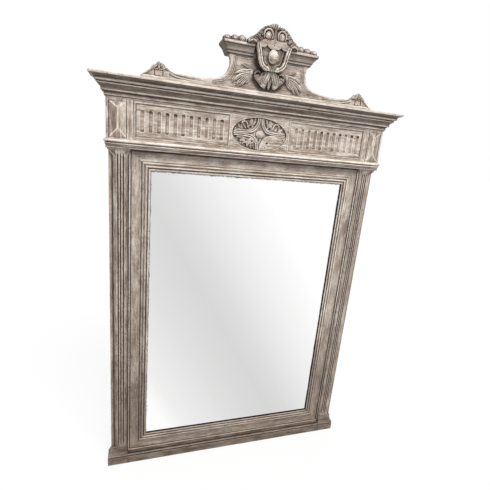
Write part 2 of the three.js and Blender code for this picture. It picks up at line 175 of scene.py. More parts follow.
def oak(name):
    """Limed oak: grain along the first coordinate of the gco attribute, darker where cav is high (wax in the hollows
    and painted shade), lighter where hi is high (rubbed, limed arrises and painted highlights)."""
    m, nt, p = new_mat(name)
    g = N(nt, "ShaderNodeAttribute", attribute_name="gco").outputs["Vector"]
    cav = N(nt, "ShaderNodeAttribute", attribute_name="cav").outputs["Fac"]
    hi = N(nt, "ShaderNodeAttribute", attribute_name="hi").outputs["Fac"]
    tone = N(nt, "ShaderNodeAttribute", attribute_name="tone").outputs["Fac"]
    figure = noise_tex(nt, scaled(nt, g, (5, 60, 60)), 4, 0.6, 0.6)
    streak = noise_tex(nt, scaled(nt, g, (13, 185, 185), (4, 2, 1)), 4, 0.62, 0.7)
    fine = noise_tex(nt, scaled(nt, g, (48, 380, 380), (3, 1, 7)), 3, 0.62, 0.9)
    blotch = noise_tex(nt, scaled(nt, g, (11, 21, 21), (1, 5, 2)), 5, 0.62)
    scuff = noise_tex(nt, scaled(nt, g, (85, 170, 170), (9, 2, 4)), 4, 0.66, 0.5)
    wear = noise_tex(nt, scaled(nt, g, (14, 95, 95), (2, 8, 3)), 5, 0.66, 0.4)
    tint = noise_tex(nt, scaled(nt, g, (4.1, 9, 9), (5, 5, 5)), 2, 0.5)
    col = ramp(nt, streak, [(0.30, (0.112, 0.074, 0.050)), (0.42, (0.222, 0.162, 0.118)), (0.51, (0.345, 0.272, 0.214)),
                            (0.60, (0.490, 0.410, 0.342)), (0.74, (0.68, 0.598, 0.525))])
    col = mix(nt, ramp(nt, figure, [(0.40, 0.80), (0.53, 0.0)]), col, (0.160, 0.106, 0.070))
    col = mix(nt, ramp(nt, blotch, [(0.47, 0.0), (0.62, 0.72)]), col, (0.64, 0.585, 0.52))
    col = mix(nt, ramp(nt, blotch, [(0.34, 0.62), (0.45, 0.0)]), col, (0.150, 0.098, 0.066))
    col = mix(nt, ramp(nt, wear, [(0.53, 0.0), (0.62, 0.55)]), col, (0.69, 0.64, 0.575))
    col = mix(nt, ramp(nt, wear, [(0.36, 0.62), (0.45, 0.0)]), col, (0.135, 0.090, 0.062))
    col = mix(nt, ramp(nt, tint, [(0.40, 0.0), (0.60, 0.30)]), col, (0.40, 0.315, 0.295))
    col = mix(nt, ramp(nt, fine, [(0.55, 0.0), (0.68, 0.72)]), col, (0.115, 0.080, 0.056))
    col = mix(nt, ramp(nt, fine, [(0.30, 0.50), (0.43, 0.0)]), col, (0.66, 0.61, 0.55))
    # rubbed arrises and painted highlights (hi)
    hf = math_(nt, "MULTIPLY", hi, ramp(nt, scuff, [(0.30, 0.35), (0.58, 1.0)]), True)
    col = mix(nt, hf, col, (0.80, 0.735, 0.67))
    # small dark knocks
    col = mix(nt, ramp(nt, scuff, [(0.30, 0.8), (0.40, 0.0)]), col, (0.10, 0.070, 0.05))
    # wax in the recesses and painted shade (cav)
    cw = math_(nt, "MULTIPLY", cav, ramp(nt, scuff, [(0.25, 1.3), (0.75, 0.8)]), True)
    col = mix(nt, math_(nt, "POWER", cw, 0.8), col, (0.052, 0.032, 0.020))
    tv = N(nt, "ShaderNodeCombineColor")
    nt.links.new(tone, tv.inputs[0])
    nt.links.new(math_(nt, "POWER", tone, 1.10), tv.inputs[1])
    nt.links.new(math_(nt, "POWER", tone, 1.20), tv.inputs[2])
    col = mix(nt, 1.0, col, tv.outputs[0], "MULTIPLY")
    nt.links.new(col, p.inputs["Base Color"])
    r = math_(nt, "ADD", ramp(nt, scuff, [(0.2, 0.38), (0.8, 0.60)]), math_(nt, "MULTIPLY", cav, 0.15))
    nt.links.new(r, p.inputs["Roughness"])
    p.inputs["Specular IOR Level"].default_value = 0.4
    hgt = math_(nt, "ADD", math_(nt, "MULTIPLY", fine, -0.4), math_(nt, "ADD", math_(nt, "MULTIPLY", streak, 0.8),
                                                                   math_(nt, "MULTIPLY", scuff, 0.6)))
    b = N(nt, "ShaderNodeBump", i_Strength=0.6, i_Distance=0.0009)
    nt.links.new(hgt, b.inputs["Height"])
    nt.links.new(b.outputs[0], p.inputs["Normal"])
    return m


def raw_wood(name, grain, coords):
    """Unfinished back timber. coords is 'gco' or 'object'; grain is the axis of the grain for object coordinates."""
    m, nt, p = new_mat(name)
    if coords == "gco":
        g = N(nt, "ShaderNodeAttribute", attribute_name="gco").outputs["Vector"]
        s = (1, 1, 1)
    else:
        g = N(nt, "ShaderNodeTexCoord").outputs["Object"]
        s = (1, 1, 1)
    ax = grain

    def sc(along, across):
        v = [across] * 3
        v[ax] = along
        return tuple(v)
    wob = noise_tex(nt, scaled(nt, g, sc(1.5, 7)), 3, 0.5, 0.8)
    streak = noise_tex(nt, scaled(nt, g, sc(3.0, 55)), 6, 0.62, 1.2)
    fine = noise_tex(nt, scaled(nt, g, sc(16, 520), (2, 1, 3)), 3, 0.6)
    stain = noise_tex(nt, scaled(nt, g, (2.3, 2.3, 2.3), (7, 7, 1)), 5, 0.6)
    col = ramp(nt, streak, [(0.32, (0.085, 0.045, 0.02)), (0.47, (0.19, 0.105, 0.05)), (0.58, (0.285, 0.175, 0.09)), (0.75, (0.37, 0.25, 0.14))])
    col = mix(nt, ramp(nt, wob, [(0.4, 0.0), (0.7, 0.45)]), col, (0.30, 0.20, 0.115))
    col = mix(nt, ramp(nt, fine, [(0.5, 0.0), (0.68, 0.6)]), col, (0.09, 0.05, 0.026))
    col = mix(nt, ramp(nt, stain, [(0.48, 0.0), (0.72, 0.55)]), col, (0.13, 0.10, 0.075))
    if coords == "gco":
        cav = N(nt, "ShaderNodeAttribute", attribute_name="cav").outputs["Fac"]
        col = mix(nt, cav, col, (0.03, 0.02, 0.014))
        hi = N(nt, "ShaderNodeAttribute", attribute_name="hi").outputs["Fac"]
        col = mix(nt, math_(nt, "MULTIPLY", hi, 0.45), col, (0.42, 0.31, 0.2))
    nt.links.new(col, p.inputs["Base Color"])
    p.inputs["Roughness"].default_value = 0.78
    p.inputs["Specular IOR Level"].default_value = 0.25
    b = N(nt, "ShaderNodeBump", i_Strength=0.6, i_Distance=0.0008)
    nt.links.new(math_(nt, "ADD", streak, math_(nt, "MULTIPLY", fine, -0.6)), b.inputs["Height"])
    nt.links.new(b.outputs[0], p.inputs["Normal"])
    return m


def metal(name, base, spot, rough, metallic):
    m, nt, p = new_mat(name)
    g = N(nt, "ShaderNodeTexCoord").outputs["Object"]
    n1 = noise_tex(nt, scaled(nt, g, (420, 420, 420)), 5, 0.6)
    n2 = noise_tex(nt, scaled(nt, g, (90, 90, 90), (1, 2, 3)), 4, 0.6)
    col = mix(nt, ramp(nt, n1, [(0.42, 0.0), (0.66, 1.0)]), base, spot)
    col = mix(nt, ramp(nt, n2, [(0.5, 0.0), (0.75, 0.7)]), col, tuple(c * 0.35 for c in base))
    nt.links.new(col, p.inputs["Base Color"])
    nt.links.new(ramp(nt, n1, [(0.3, rough), (0.75, min(1, rough + 0.3))]), p.inputs["Roughness"])
    nt.links.new(ramp(nt, n2, [(0.45, metallic), (0.8, metallic * 0.4)]), p.inputs["Metallic"])
    b = N(nt, "ShaderNodeBump", i_Strength=0.5, i_Distance=0.0002)
    nt.links.new(n1, b.inputs["Height"])
    nt.links.new(b.outputs[0], p.inputs["Normal"])
    return m


# the silver's colour is darker in a broad soft band that slants across the plate, a painted reflection of the
# surroundings: x and z weights and an offset
REFLECTION_BAND = (0.861, 0.497, 0.248)


def silvering():
    """Old mirror: clear in the middle, foxed and flaked along the edges (attribute fox, 0..1)."""
    m, nt, p = new_mat("old_silvering")
    g = N(nt, "ShaderNodeTexCoord").outputs["Object"]
    fox = N(nt, "ShaderNodeAttribute", attribute_name="fox").outputs["Fac"]
    a = noise_tex(nt, scaled(nt, g, (75, 75, 75)), 6, 0.68, 0.6)
    b = noise_tex(nt, scaled(nt, g, (260, 260, 260), (3, 1, 2)), 5, 0.7)
    c = noise_tex(nt, scaled(nt, g, (9, 9, 9), (6, 1, 2)), 3, 0.5)
    e = math_(nt, "ADD", fox, math_(nt, "ADD", math_(nt, "MULTIPLY", math_(nt, "SUBTRACT", a, 0.5), 1.1),
                                    math_(nt, "MULTIPLY", math_(nt, "SUBTRACT", b, 0.5), 0.7)))
    lost = ramp(nt, e, [(0.50, 0.0), (0.60, 1.0)])
    haze = ramp(nt, e, [(0.28, 0.0), (0.55, 1.0)])
    sx = N(nt, "ShaderNodeSeparateXYZ")
    nt.links.new(g, sx.inputs[0])
    u = math_(nt, "ADD", math_(nt, "ADD", math_(nt, "MULTIPLY", sx.outputs[0], REFLECTION_BAND[0]), math_(nt, "MULTIPLY", sx.outputs[2], REFLECTION_BAND[1])), REFLECTION_BAND[2])
    # painted reflection: the silver's colour dips and rises along the slanting band
    sheen = ramp(nt, u, [(0.05, 0.98), (0.118, 0.86), (0.218, 0.80), (0.318, 0.74), (0.405, 0.70), (0.5, 0.672), (0.582, 0.71), (0.68, 0.79), (0.777, 0.865), (0.886, 0.93), (0.968, 0.985)])
    col = mix(nt, math_(nt, "MULTIPLY", haze, 0.6), sheen, (0.62, 0.66, 0.68))
    dark = mix(nt, ramp(nt, b, [(0.40, 0.0), (0.60, 1.0)]), (0.055, 0.065, 0.072), (0.42, 0.45, 0.46))
    col = mix(nt, lost, col, dark)
    # dark rim along the plate's edges: partly blackened silver, partly painted shade reflected from the rebate
    rim = N(nt, "ShaderNodeAttribute", attribute_name="cav").outputs["Fac"]
    rim = math_(nt, "MULTIPLY", rim, ramp(nt, a, [(0.32, 0.35), (0.50, 1.0)]), True)
    col = mix(nt, rim, col, (0.018, 0.021, 0.024))
    nt.links.new(col, p.inputs["Base Color"])
    nt.links.new(math_(nt, "SUBTRACT", 1.0, math_(nt, "MULTIPLY", lost, 0.85)), p.inputs["Metallic"])
    nt.links.new(math_(nt, "ADD", math_(nt, "MULTIPLY", haze, 0.16), math_(nt, "ADD", math_(nt, "MULTIPLY", lost, 0.25),
                                                                         math_(nt, "MULTIPLY", c, 0.03))), p.inputs["Roughness"])
    return m


OAK = oak("limed_oak")
PINE = raw_wood("raw_pine", 0, "gco")
PINE_X = raw_wood("raw_pine_x", 0, "object")
PINE_Z = raw_wood("raw_pine_z", 2, "object")
IRON = metal("hanger_iron", (0.055, 0.048, 0.042), (0.13, 0.075, 0.042), 0.45, 0.9)
BRASS = metal("screw_brass", (0.30, 0.20, 0.085), (0.14, 0.085, 0.04), 0.38, 1.0)
SILVER = silvering()


# ------------------------------------------------------------------ meshes
def volume(V, F):
    total = 0.0
    by = {}
    for f in F:
        by.setdefault(len(f), []).append(f)
    for n, fs in by.items():
        A = np.asarray(fs)
        a = V[A[:, 0]]
        for k in range(1, n - 1):
            total += (a * np.cross(V[A[:, k]], V[A[:, k + 1]])).sum()
    return total


_count = [0]


def build(name, V, F, mat, rep=(), body="frame", cav=None, hi=None, gco=None, tone=1.0, angle=42, fox=None, mirror=False):
    """One piece from millimetre vertices and faces, with its attributes; mirror puts it on the other side."""
    V = np.array(V, float)
    n = len(V)
    if mirror:
        V[:, 0] *= -1
    if volume(V, F) < 0:
        F = [f[::-1] for f in F]
    V[:, 0] = np.clip(V[:, 0], -619.9, 619.9)
    V[:, 2] = np.clip(V[:, 2], 0.05, 1881.95)
    W = V.copy()
    W[:, 1] += YS
    W /= 1000.0
    me = bpy.data.meshes.new(name)
    me.from_pydata(W.tolist(), [], [list(map(int, f)) for f in F])
    _count[0] += 1
    off = np.array([0.37, 1.13, 2.71]) * _count[0]
    g = (np.array(gco, float) / 1000.0 if gco is not None else W.copy()) + off
    for key, val in (("cav", cav), ("hi", hi), ("tone", tone), ("fox", fox)):
        if val is None:
            if key == "fox":
                continue
            val = 0.0
        a = me.attributes.new(key, "FLOAT", "POINT")
        a.data.foreach_set("value", np.clip(np.broadcast_to(np.asarray(val, float), (n,)), 0, 2).astype(np.float32))
    a = me.attributes.new("gco", "FLOAT_VECTOR", "POINT")
    a.data.foreach_set("vector", g.astype(np.float32).ravel())
    me.materials.append(mat)
    me.shade_smooth()
    me.set_sharp_from_angle(angle=math.radians(angle))
    me.validate()
    o = bpy.data.objects.new(name, me)
    bpy.context.scene.collection.objects.link(o)
    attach(o, body)
    if rep:
        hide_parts(*([rep] if isinstance(rep, str) else rep))
    return o


def path(pts, ds=0.9):
    """Open polyline through (a, b[, sagitta]); the sagitta bows the segment that ends at that point."""
    out = [np.array(pts[0][:2], float)]
    for p in pts[1:]:
        a, b = out[-1], np.array(p[:2], float)
        s = p[2] if len(p) > 2 else 0.0
        d = b - a
        c = np.linalg.norm(d)
        if c < 1e-6:
            continue
        d = d / c
        if abs(s) > 1e-6:
            n = max(5, int(math.ceil(1.25 * c / ds)))
            r = (c * c / 4 + s * s) / (2 * abs(s))
            nr = np.array([-d[1], d[0]]) * (1 if s > 0 else -1)
            half = math.asin(min(1.0, c / 2 / r))
            if abs(s) > c / 2:
                half = math.pi - half
            ctr = (a + b) / 2 - nr * (r - abs(s))
            for t in np.linspace(-half, half, n + 1)[1:]:
                out.append(ctr + nr * r * math.cos(t) + d * r * math.sin(t))
        else:
            n = max(1, int(math.ceil(c / ds)))
            for k in range(1, n + 1):
                out.append(a + (b - a) * k / n)
    return np.array(out)


def resample(P, ds):
    L = np.concatenate([[0], np.cumsum(np.linalg.norm(np.diff(P, axis=0), axis=1))])
    n = max(2, int(round(L[-1] / ds)))
    t = np.linspace(0, L[-1], n + 1)
    return np.stack([np.interp(t, L, P[:, k]) for k in range(P.shape[1])], 1)


def soften(P, times):
    P = P.copy()
    for _ in range(times):
        P[1:-1] = P[1:-1] * 0.5 + (P[:-2] + P[2:]) * 0.25
    return P


def gauss1(a, s):
    n = int(math.ceil(3 * s))
    k = np.exp(-0.5 * (np.arange(-n, n + 1) / s) ** 2)
    k /= k.sum()
    lo = 2 * a[0] - a[1:n + 1][::-1] if len(a) > n else np.repeat(a[:1], n, 0)
    hi_ = 2 * a[-1] - a[-n - 1:-1][::-1] if len(a) > n else np.repeat(a[-1:], n, 0)
    e = np.concatenate([lo, a, hi_])
    return np.stack([np.convolve(e[:, i], k, "valid") for i in range(a.shape[1])], 1)


def profile(pts, out, ds=0.85, soft=2, dark=(), light=()):
    """Dense profile with its normals, its cav (darker in the hollows: wax and painted shade) and its hi (lighter on
    the rounds: wear and painted highlight). out is +1 where the open side lies to the left of the path, -1 where it
    lies to the right.
    dark and light add spots of painted shade (with wax) and of painted highlight: (position along the path as a nearby
    point, half width, amount)."""
    P = soften(resample(path(pts, ds * 0.6), ds), soft)
    T = np.gradient(P, axis=0)
    T /= np.linalg.norm(T, axis=1)[:, None] + 1e-9
    Nn = out * np.stack([-T[:, 1], T[:, 0]], 1)

    def dev(s):
        return ((gauss1(P, s / ds) - P) * Nn).sum(1)
    d1, d2, d3 = dev(1.3), dev(3.5), dev(8.0)
    cav = np.clip(d1 / 0.34, 0, 1) * 0.5 + np.clip(d2 / 1.05, 0, 1) * 0.6 + np.clip(d3 / 3.2, 0, 1) * 0.25
    hi_ = np.clip(-d1 / 0.34, 0, 1) * 0.7 + np.clip(-d2 / 1.1, 0, 1) * 0.5
    for (q, w, am) in dark:
        cav = np.maximum(cav, am * np.exp(-(np.linalg.norm(P - np.array(q, float), axis=1) / (1.35 * w)) ** 2))
    for (q, w, am) in light:
        hi_ = np.maximum(hi_, am * np.exp(-(np.linalg.norm(P - np.array(q, float), axis=1) / w) ** 2))
    return P, Nn, np.clip(cav, 0, 1), np.clip(hi_, 0, 1)


def sweep(name, prof, back, t0, t1, place, rep, step=13.0, wob=0.16, tone=1.0, seed=1, mirror=False, mat=None,
          extra=None, ends=(0, 0)):
    """Straight moulding: the profile (plus a few back points) carried from t0 to t1, which may depend on
    (a, b) for mitres. ends adds wax near the two ends."""
    P, Nn, cav, hi_ = prof
    B = np.array(back, float).reshape(-1, 2)
    A = np.concatenate([P, B])
    NN = np.concatenate([Nn, np.zeros_like(B)])
    cv = np.concatenate([cav, np.full(len(B), 0.25)])
    hv = np.concatenate([hi_, np.zeros(len(B))])
    f = lambda t: t(A[:, 0], A[:, 1]) if callable(t) else np.full(len(A), float(t))
    T0, T1 = f(t0), f(t1)
    m = max(2, int(math.ceil(np.abs(T1 - T0).max() / step))) + 1
    s = np.linspace(0, 1, m)[:, None]
    T = T0[None] * (1 - s) + T1[None] * s
    arc = np.arange(len(A)) * 0.85
    w = wob * (noise(T / 70.0, arc[None] / 16.0, 0, seed) + 0.7 * noise(T / 22.0, arc[None] / 5.0, 3, seed))
    w -= 0.35 * wob / 0.16 * np.clip(noise(T / 14.0, arc[None] / 4.0, 9, seed) - 0.45, 0, 1) * (hv[None] > 0.3)
    a = A[None, :, 0] + NN[None, :, 0] * w
    b = A[None, :, 1] + NN[None, :, 1] * w
    x, y, z = place(a, b, T)
    V = np.stack([np.broadcast_to(v, a.shape) for v in (x, y, z)], 2).reshape(-1, 3)
    n = len(A)
    i, j = np.meshgrid(np.arange(m - 1), np.arange(n), indexing="ij")
    q = np.stack([i * n + j, i * n + (j + 1) % n, (i + 1) * n + (j + 1) % n, (i + 1) * n + j], 2).reshape(-1, 4)
    F = q.tolist() + [list(range(n))[::-1], list(range((m - 1) * n, m * n))]
    cvv = np.broadcast_to(cv[None], (m, n)).copy()
    for e, amt in zip((T - T0[None], T1[None] - T), ends):
        if amt:
            cvv = np.maximum(cvv, amt * np.exp(-np.abs(e) / 1.6))
    cvv = cvv * (1 + 0.25 * noise(T / 35.0, arc[None] / 6.0, 5, seed))
    hvv = np.broadcast_to(hv[None], (m, n)) * (0.85 + 0.5 * noise(T / 45.0, arc[None] / 8.0, 7, seed))
    if extra:
        cvv, hvv = extra(a, b, T, cvv, hvv)
    g = np.stack([T, a, b], 2).reshape(-1, 3)
    tn = np.broadcast_to(tone(a, b, T), a.shape).ravel() if callable(tone) else tone
    return build(name, V, F, mat or OAK, rep, cav=cvv.ravel(), hi=hvv.ravel(), gco=g, tone=tn, mirror=mirror)


def loft(name, levels, rep, tone=1.0, cav=None, hi=None, grain=0, mirror=False, step=14.0, seed=1, wob=0.12, cr=1.2, mat=None, inner=1.0, outer=0.0):
    """A stack of rectangles (x0, x1, y0, y1, z) with rounded front corners, for blocks and caps moulded on
    three sides. cav and hi are given per level."""
    L = np.array(levels, float)
    m = len(L)
    x0, x1, y0, y1, z = L.T
    nx = max(3, int(abs(x1 - x0).max() / step))
    ny = max(2, int(abs(y1 - y0).max() / step))
    pts = []          # (fx, fy, corner offset x, corner offset y, is arris)
    ci = cr * inner + 0.15
    for k in range(ny + 1):
        pts.append((0.0, 1 - k / ny if k < ny else 0.0, 0, ci if k == ny else 0, inner * (k == ny)))
    pts.append((0.0, 0.0, 0.3 * ci, 0.3 * ci, inner))
    for k in range(nx + 1):
        ox = ci if k == 0 else (-cr if k == nx else 0)
        pts.append((k / nx, 0.0, ox, 0, inner if k == 0 else float(k == nx)))
    pts.append((1.0, 0.0, -0.3 * cr, 0.3 * cr, True))
    for k in range(ny + 1):
        pts.append((1.0, k / ny, 0, cr if k == 0 else 0, k == 0))
    q = np.array([p[:4] for p in pts], float)
    ar = np.array([p[4] for p in pts], float)
    n = len(q)
    X = x0[:, None] + (x1 - x0)[:, None] * q[None, :, 0] + q[None, :, 2]
    Y = y0[:, None] + (y1 - y0)[:, None] * q[None, :, 1] + q[None, :, 3]
    Z = np.broadcast_to(z[:, None], X.shape).copy()
    w = wob * noise(X / 25.0, Y / 25.0, Z / 12.0, seed)
    Y = Y + w * (q[None, :, 1] < 0.01)
    V = np.stack([X, Y, Z], 2).reshape(-1, 3)
    i, j = np.meshgrid(np.arange(m - 1), np.arange(n), indexing="ij")
    F = np.stack([i * n + j, i * n + (j + 1) % n, (i + 1) * n + (j + 1) % n, (i + 1) * n + j], 2).reshape(-1, 4).tolist()
    F += [list(range(n))[::-1], list(range((m - 1) * n, m * n))]
    c = np.zeros(m) if cav is None else np.asarray(cav)
    h = np.zeros(m) if hi is None else np.asarray(hi)
    C = np.broadcast_to(c[:, None], (m, n)) * (1 + 0.2 * noise(X / 30.0, Y / 30.0, Z / 8.0, seed + 3))
    H = np.maximum(np.broadcast_to(h[:, None], (m, n)), ar[None] * 0.6) * (0.8 + 0.5 * noise(X / 30.0, Y / 30.0, Z / 10.0, seed + 5))
    # outer: how much painted shade darkens the outer end (the return)
    C = np.maximum(C, outer * (q[None, :, 0] > 0.999) * (1 + 0.3 * noise(X / 9.0, Y / 9.0, Z / 7.0, seed + 7)))
    H = np.where(C > 0.5, H * 0.3, H)
    g = np.stack([X, Z, Y], 2) if grain == 0 else np.stack([Z, X, Y], 2)
    return build(name, V, F, mat or OAK, rep, cav=C.ravel(), hi=H.ravel(), gco=g.reshape(-1, 3), tone=tone, mirror=mirror)


def plank(name, x0, x1, y0, y1, z0, z1, rep, grain=0, r=1.2, mat=None, tone=1.0, seed=1, wob=0.25, step=40.0, cav=0.0, edge=0.5):
    """A sawn board with eased edges, slightly out of true. grain is the axis it runs along (0 x, 2 z)."""
    lo = np.array([x0, y0, z0], float)
    hi_ = np.array([x1, y1, z1], float)
    ax = grain
    u, v = [k for k in range(3) if k != ax]
    a0, a1, b0, b1 = lo[u], hi_[u], lo[v], hi_[v]

    def side(p0, p1, st):
        k = max(1, int(math.ceil(abs(p1 - p0) / st)))
        return list(np.linspace(p0, p1, k + 1))
    ring, isarr = [], []
    for a in side(a0 + r, a1 - r, 24):
        ring.append((a, b0)); isarr.append(0)
    isarr[0] = isarr[-1] = 1
    ring.append((a1 - 0.3 * r, b0 + 0.3 * r)); isarr.append(1)
    s = side(b0 + r, b1 - r, 24)
    for b in s:
        ring.append((a1, b)); isarr.append(int(b in (s[0], s[-1])))
    ring.append((a1 - 0.3 * r, b1 - 0.3 * r)); isarr.append(1)
    s = side(a1 - r, a0 + r, 24)
    for a in s:
        ring.append((a, b1)); isarr.append(int(a in (s[0], s[-1])))
    ring.append((a0 + 0.3 * r, b1 - 0.3 * r)); isarr.append(1)
    s = side(b1 - r, b0 + r, 24)
    for b in s:
        ring.append((a0, b)); isarr.append(int(b in (s[0], s[-1])))
    ring.append((a0 + 0.3 * r, b0 + 0.3 * r)); isarr.append(1)
    Rg = np.array(ring)
    n = len(Rg)
    ts = [lo[ax], lo[ax] + 0.4 * r, lo[ax] + r] + list(np.linspace(lo[ax] + r, hi_[ax] - r, max(2, int((hi_[ax] - lo[ax]) / step)) + 1))[1:-1] + \
         [hi_[ax] - r, hi_[ax] - 0.4 * r, hi_[ax]]
    sh = [r, 0.3 * r, 0] + [0] * (len(ts) - 6) + [0, 0.3 * r, r]
    m = len(ts)
    C = np.array([(a0 + a1) / 2, (b0 + b1) / 2])
    V = np.zeros((m, n, 3))
    cv = np.zeros((m, n))
    hv = np.zeros((m, n))
    for k, (t, q) in enumerate(zip(ts, sh)):
        d = Rg - C
        half = np.array([(a1 - a0) / 2, (b1 - b0) / 2])
        S = C + d * (1 - q / half)
        V[k, :, u], V[k, :, v] = S[:, 0], S[:, 1]
        V[k, :, ax] = t
        hv[k] = np.maximum(np.array(isarr) * edge, edge if q > 0 else 0)
    w = -np.abs(wob * noise(V[..., 0] / 90.0, V[..., 1] / 90.0, V[..., 2] / 90.0, seed))
    for c_, lo_, hi2 in ((0, lo[0], hi_[0]), (1, lo[1], hi_[1]), (2, lo[2], hi_[2])):
        if c_ == ax:
            continue
        V[..., c_] = np.where(np.abs(V[..., c_] - lo_) < 1e-6, lo_ - w, np.where(np.abs(V[..., c_] - hi2) < 1e-6, hi2 + w, V[..., c_]))
    i, j = np.meshgrid(np.arange(m - 1), np.arange(n), indexing="ij")
    F = np.stack([i * n + j, i * n + (j + 1) % n, (i + 1) * n + (j + 1) % n, (i + 1) * n + j], 2).reshape(-1, 4).tolist()
    F += [list(range(n))[::-1], list(range((m - 1) * n, m * n))]
    VV = V.reshape(-1, 3)
    g = VV[:, [ax, u, v]]
    return build(name, VV, F, mat or OAK, rep, cav=np.full(m * n, cav), hi=hv.ravel() * (0.8 + 0.5 * noise(VV[:, 0] / 20, VV[:, 1] / 20, VV[:, 2] / 20, seed)),
                 gco=g, tone=tone)


# ------------------------------------------------------------------ carved relief
def blur(a, s):
    if s < 0.3:
        return a
    n = int(math.ceil(2.6 * s))
    k = np.exp(-0.5 * (np.arange(-n, n + 1) / s) ** 2)
    k /= k.sum()
    for ax in (0, 1):
        pad = [(0, 0), (0, 0)]
        pad[ax] = (n, n)
        e = np.pad(a, pad, mode="edge")
        acc = 0
        for i, w in enumerate(k):
            sl = [slice(None), slice(None)]
            sl[ax] = slice(i, i + a.shape[ax])
            acc = acc + w * e[tuple(sl)]
        a = acc
    return a


def sd_poly(X, Z, pts):
    """Signed distance to a closed polygon, positive inside."""
    P = np.asarray(pts, float)
    Q = np.roll(P, -1, 0)
    d2 = np.full(X.shape, 1e18)
    ins = np.zeros(X.shape, bool)
    for (ax, az), (bx, bz) in zip(P, Q):
        ex, ez = bx - ax, bz - az
        wx, wz = X - ax, Z - az
        t = np.clip((wx * ex + wz * ez) / (ex * ex + ez * ez + 1e-12), 0, 1)
        d2 = np.minimum(d2, (wx - ex * t) ** 2 + (wz - ez * t) ** 2)
        if abs(ez) > 1e-12:
            c = ((az <= Z) & (bz > Z)) | ((bz <= Z) & (az > Z))
            ins ^= c & (X < ax + (Z - az) / ez * ex)
    return np.where(ins, 1.0, -1.0) * np.sqrt(d2)


def rect(X, Z, x0, x1, z0, z1):
    return np.minimum(np.minimum(X - x0, x1 - X), np.minimum(Z - z0, z1 - Z))


def along(X, Z, pts):
    """Distance to an open polyline, the side it is on, and how far along the nearest point is (0..1)."""
    P = np.asarray(pts, float)
    L = np.linalg.norm(np.diff(P, axis=0), axis=1)
    cum = np.concatenate([[0], np.cumsum(L)])
    best = np.full(X.shape, 1e18)
    sd = np.zeros(X.shape)
    u = np.zeros(X.shape)
    for k in range(len(L)):
        ax, az = P[k]
        ex, ez = P[k + 1] - P[k]
        wx, wz = X - ax, Z - az
        t = np.clip((wx * ex + wz * ez) / (L[k] ** 2 + 1e-12), 0, 1)
        d2 = (wx - ex * t) ** 2 + (wz - ez * t) ** 2
        m = d2 < best
        best = np.where(m, d2, best)
        sd = np.where(m, np.sign(ex * wz - ez * wx), sd)
        u = np.where(m, (cum[k] + t * L[k]) / cum[-1], u)
    return np.sqrt(best), sd, u


def spline(pts, n=24):
    """Catmull-Rom curve through the points."""
    P = np.asarray(pts, float)
    P = np.vstack([2 * P[0] - P[1], P, 2 * P[-1] - P[-2]])
    out = []
    segs = len(P) - 3
    for k in range(segs):
        p0, p1, p2, p3 = P[k:k + 4]
        c = max(2, n // segs)
        for t in np.linspace(0, 1, c, endpoint=False):
            out.append(0.5 * ((2 * p1) + (-p0 + p2) * t + (2 * p0 - 5 * p1 + 4 * p2 - p3) * t * t + (-p0 + 3 * p1 - 3 * p2 + p3) * t ** 3))
    out.append(P[-2])
    return np.array(out)


def band(X, Z, pts, w, h, shape="round", base=0.0, n=24, smooth=True):
    """Raised member along a curve. w and h are numbers or lists along the curve. Returns (inside measure, height)."""
    C = spline(pts, n) if smooth else np.asarray(pts, float)
    d, s, u = along(X, Z, C)
    f = lambda v: np.interp(u, np.linspace(0, 1, len(v)), v) if isinstance(v, (list, tuple)) else v
    W, Hh = f(w), f(h)
    g = W - d
    q = np.clip(d / np.maximum(W, 1e-6), 0, 1)
    if shape == "round":
        k = np.sqrt(np.clip(1 - q * q, 0, 1))
    elif shape == "flat":
        k = np.clip(1 - ((q - 0.72) / 0.28).clip(0, 1) ** 2, 0, 1)
    elif shape == "rim":          # dished, with a raised edge
        k = 0.62 + 0.38 * np.exp(-((q - 0.78) / 0.2) ** 2)
        k = k * np.clip((1 - q) / 0.12, 0, 1)
    elif shape == "leaf":         # keel in the middle, dished sides, raised edges
        k = 0.68 + 0.32 * np.exp(-(q / 0.2) ** 2) + 0.22 * np.exp(-((q - 0.75) / 0.18) ** 2)
        k = k * np.sqrt(np.clip((1 - q) / 0.22, 0, 1))
    elif shape == "vein":         # two rounded ribs with a cut between them
        k = np.sqrt(np.clip(1 - q * q, 0, 1)) * (1 - 0.42 * np.exp(-(q / 0.16) ** 2))
    else:
        k = 1 - q
    return g, np.where(g > 0, base + Hh * k, -1e3)


def dome(X, Z, cx, cz, a, b, h, base=0.0, p=0.5, rot=0.0):
    c, s = math.cos(rot), math.sin(rot)
    x, z = (X - cx) * c + (Z - cz) * s, -(X - cx) * s + (Z - cz) * c
    r2 = (x / a) ** 2 + (z / b) ** 2
    g = (1 - np.sqrt(r2)) * min(a, b)
    return g, np.where(r2 < 1, base + h * np.clip(1 - r2, 0, 1) ** p, -1e3)


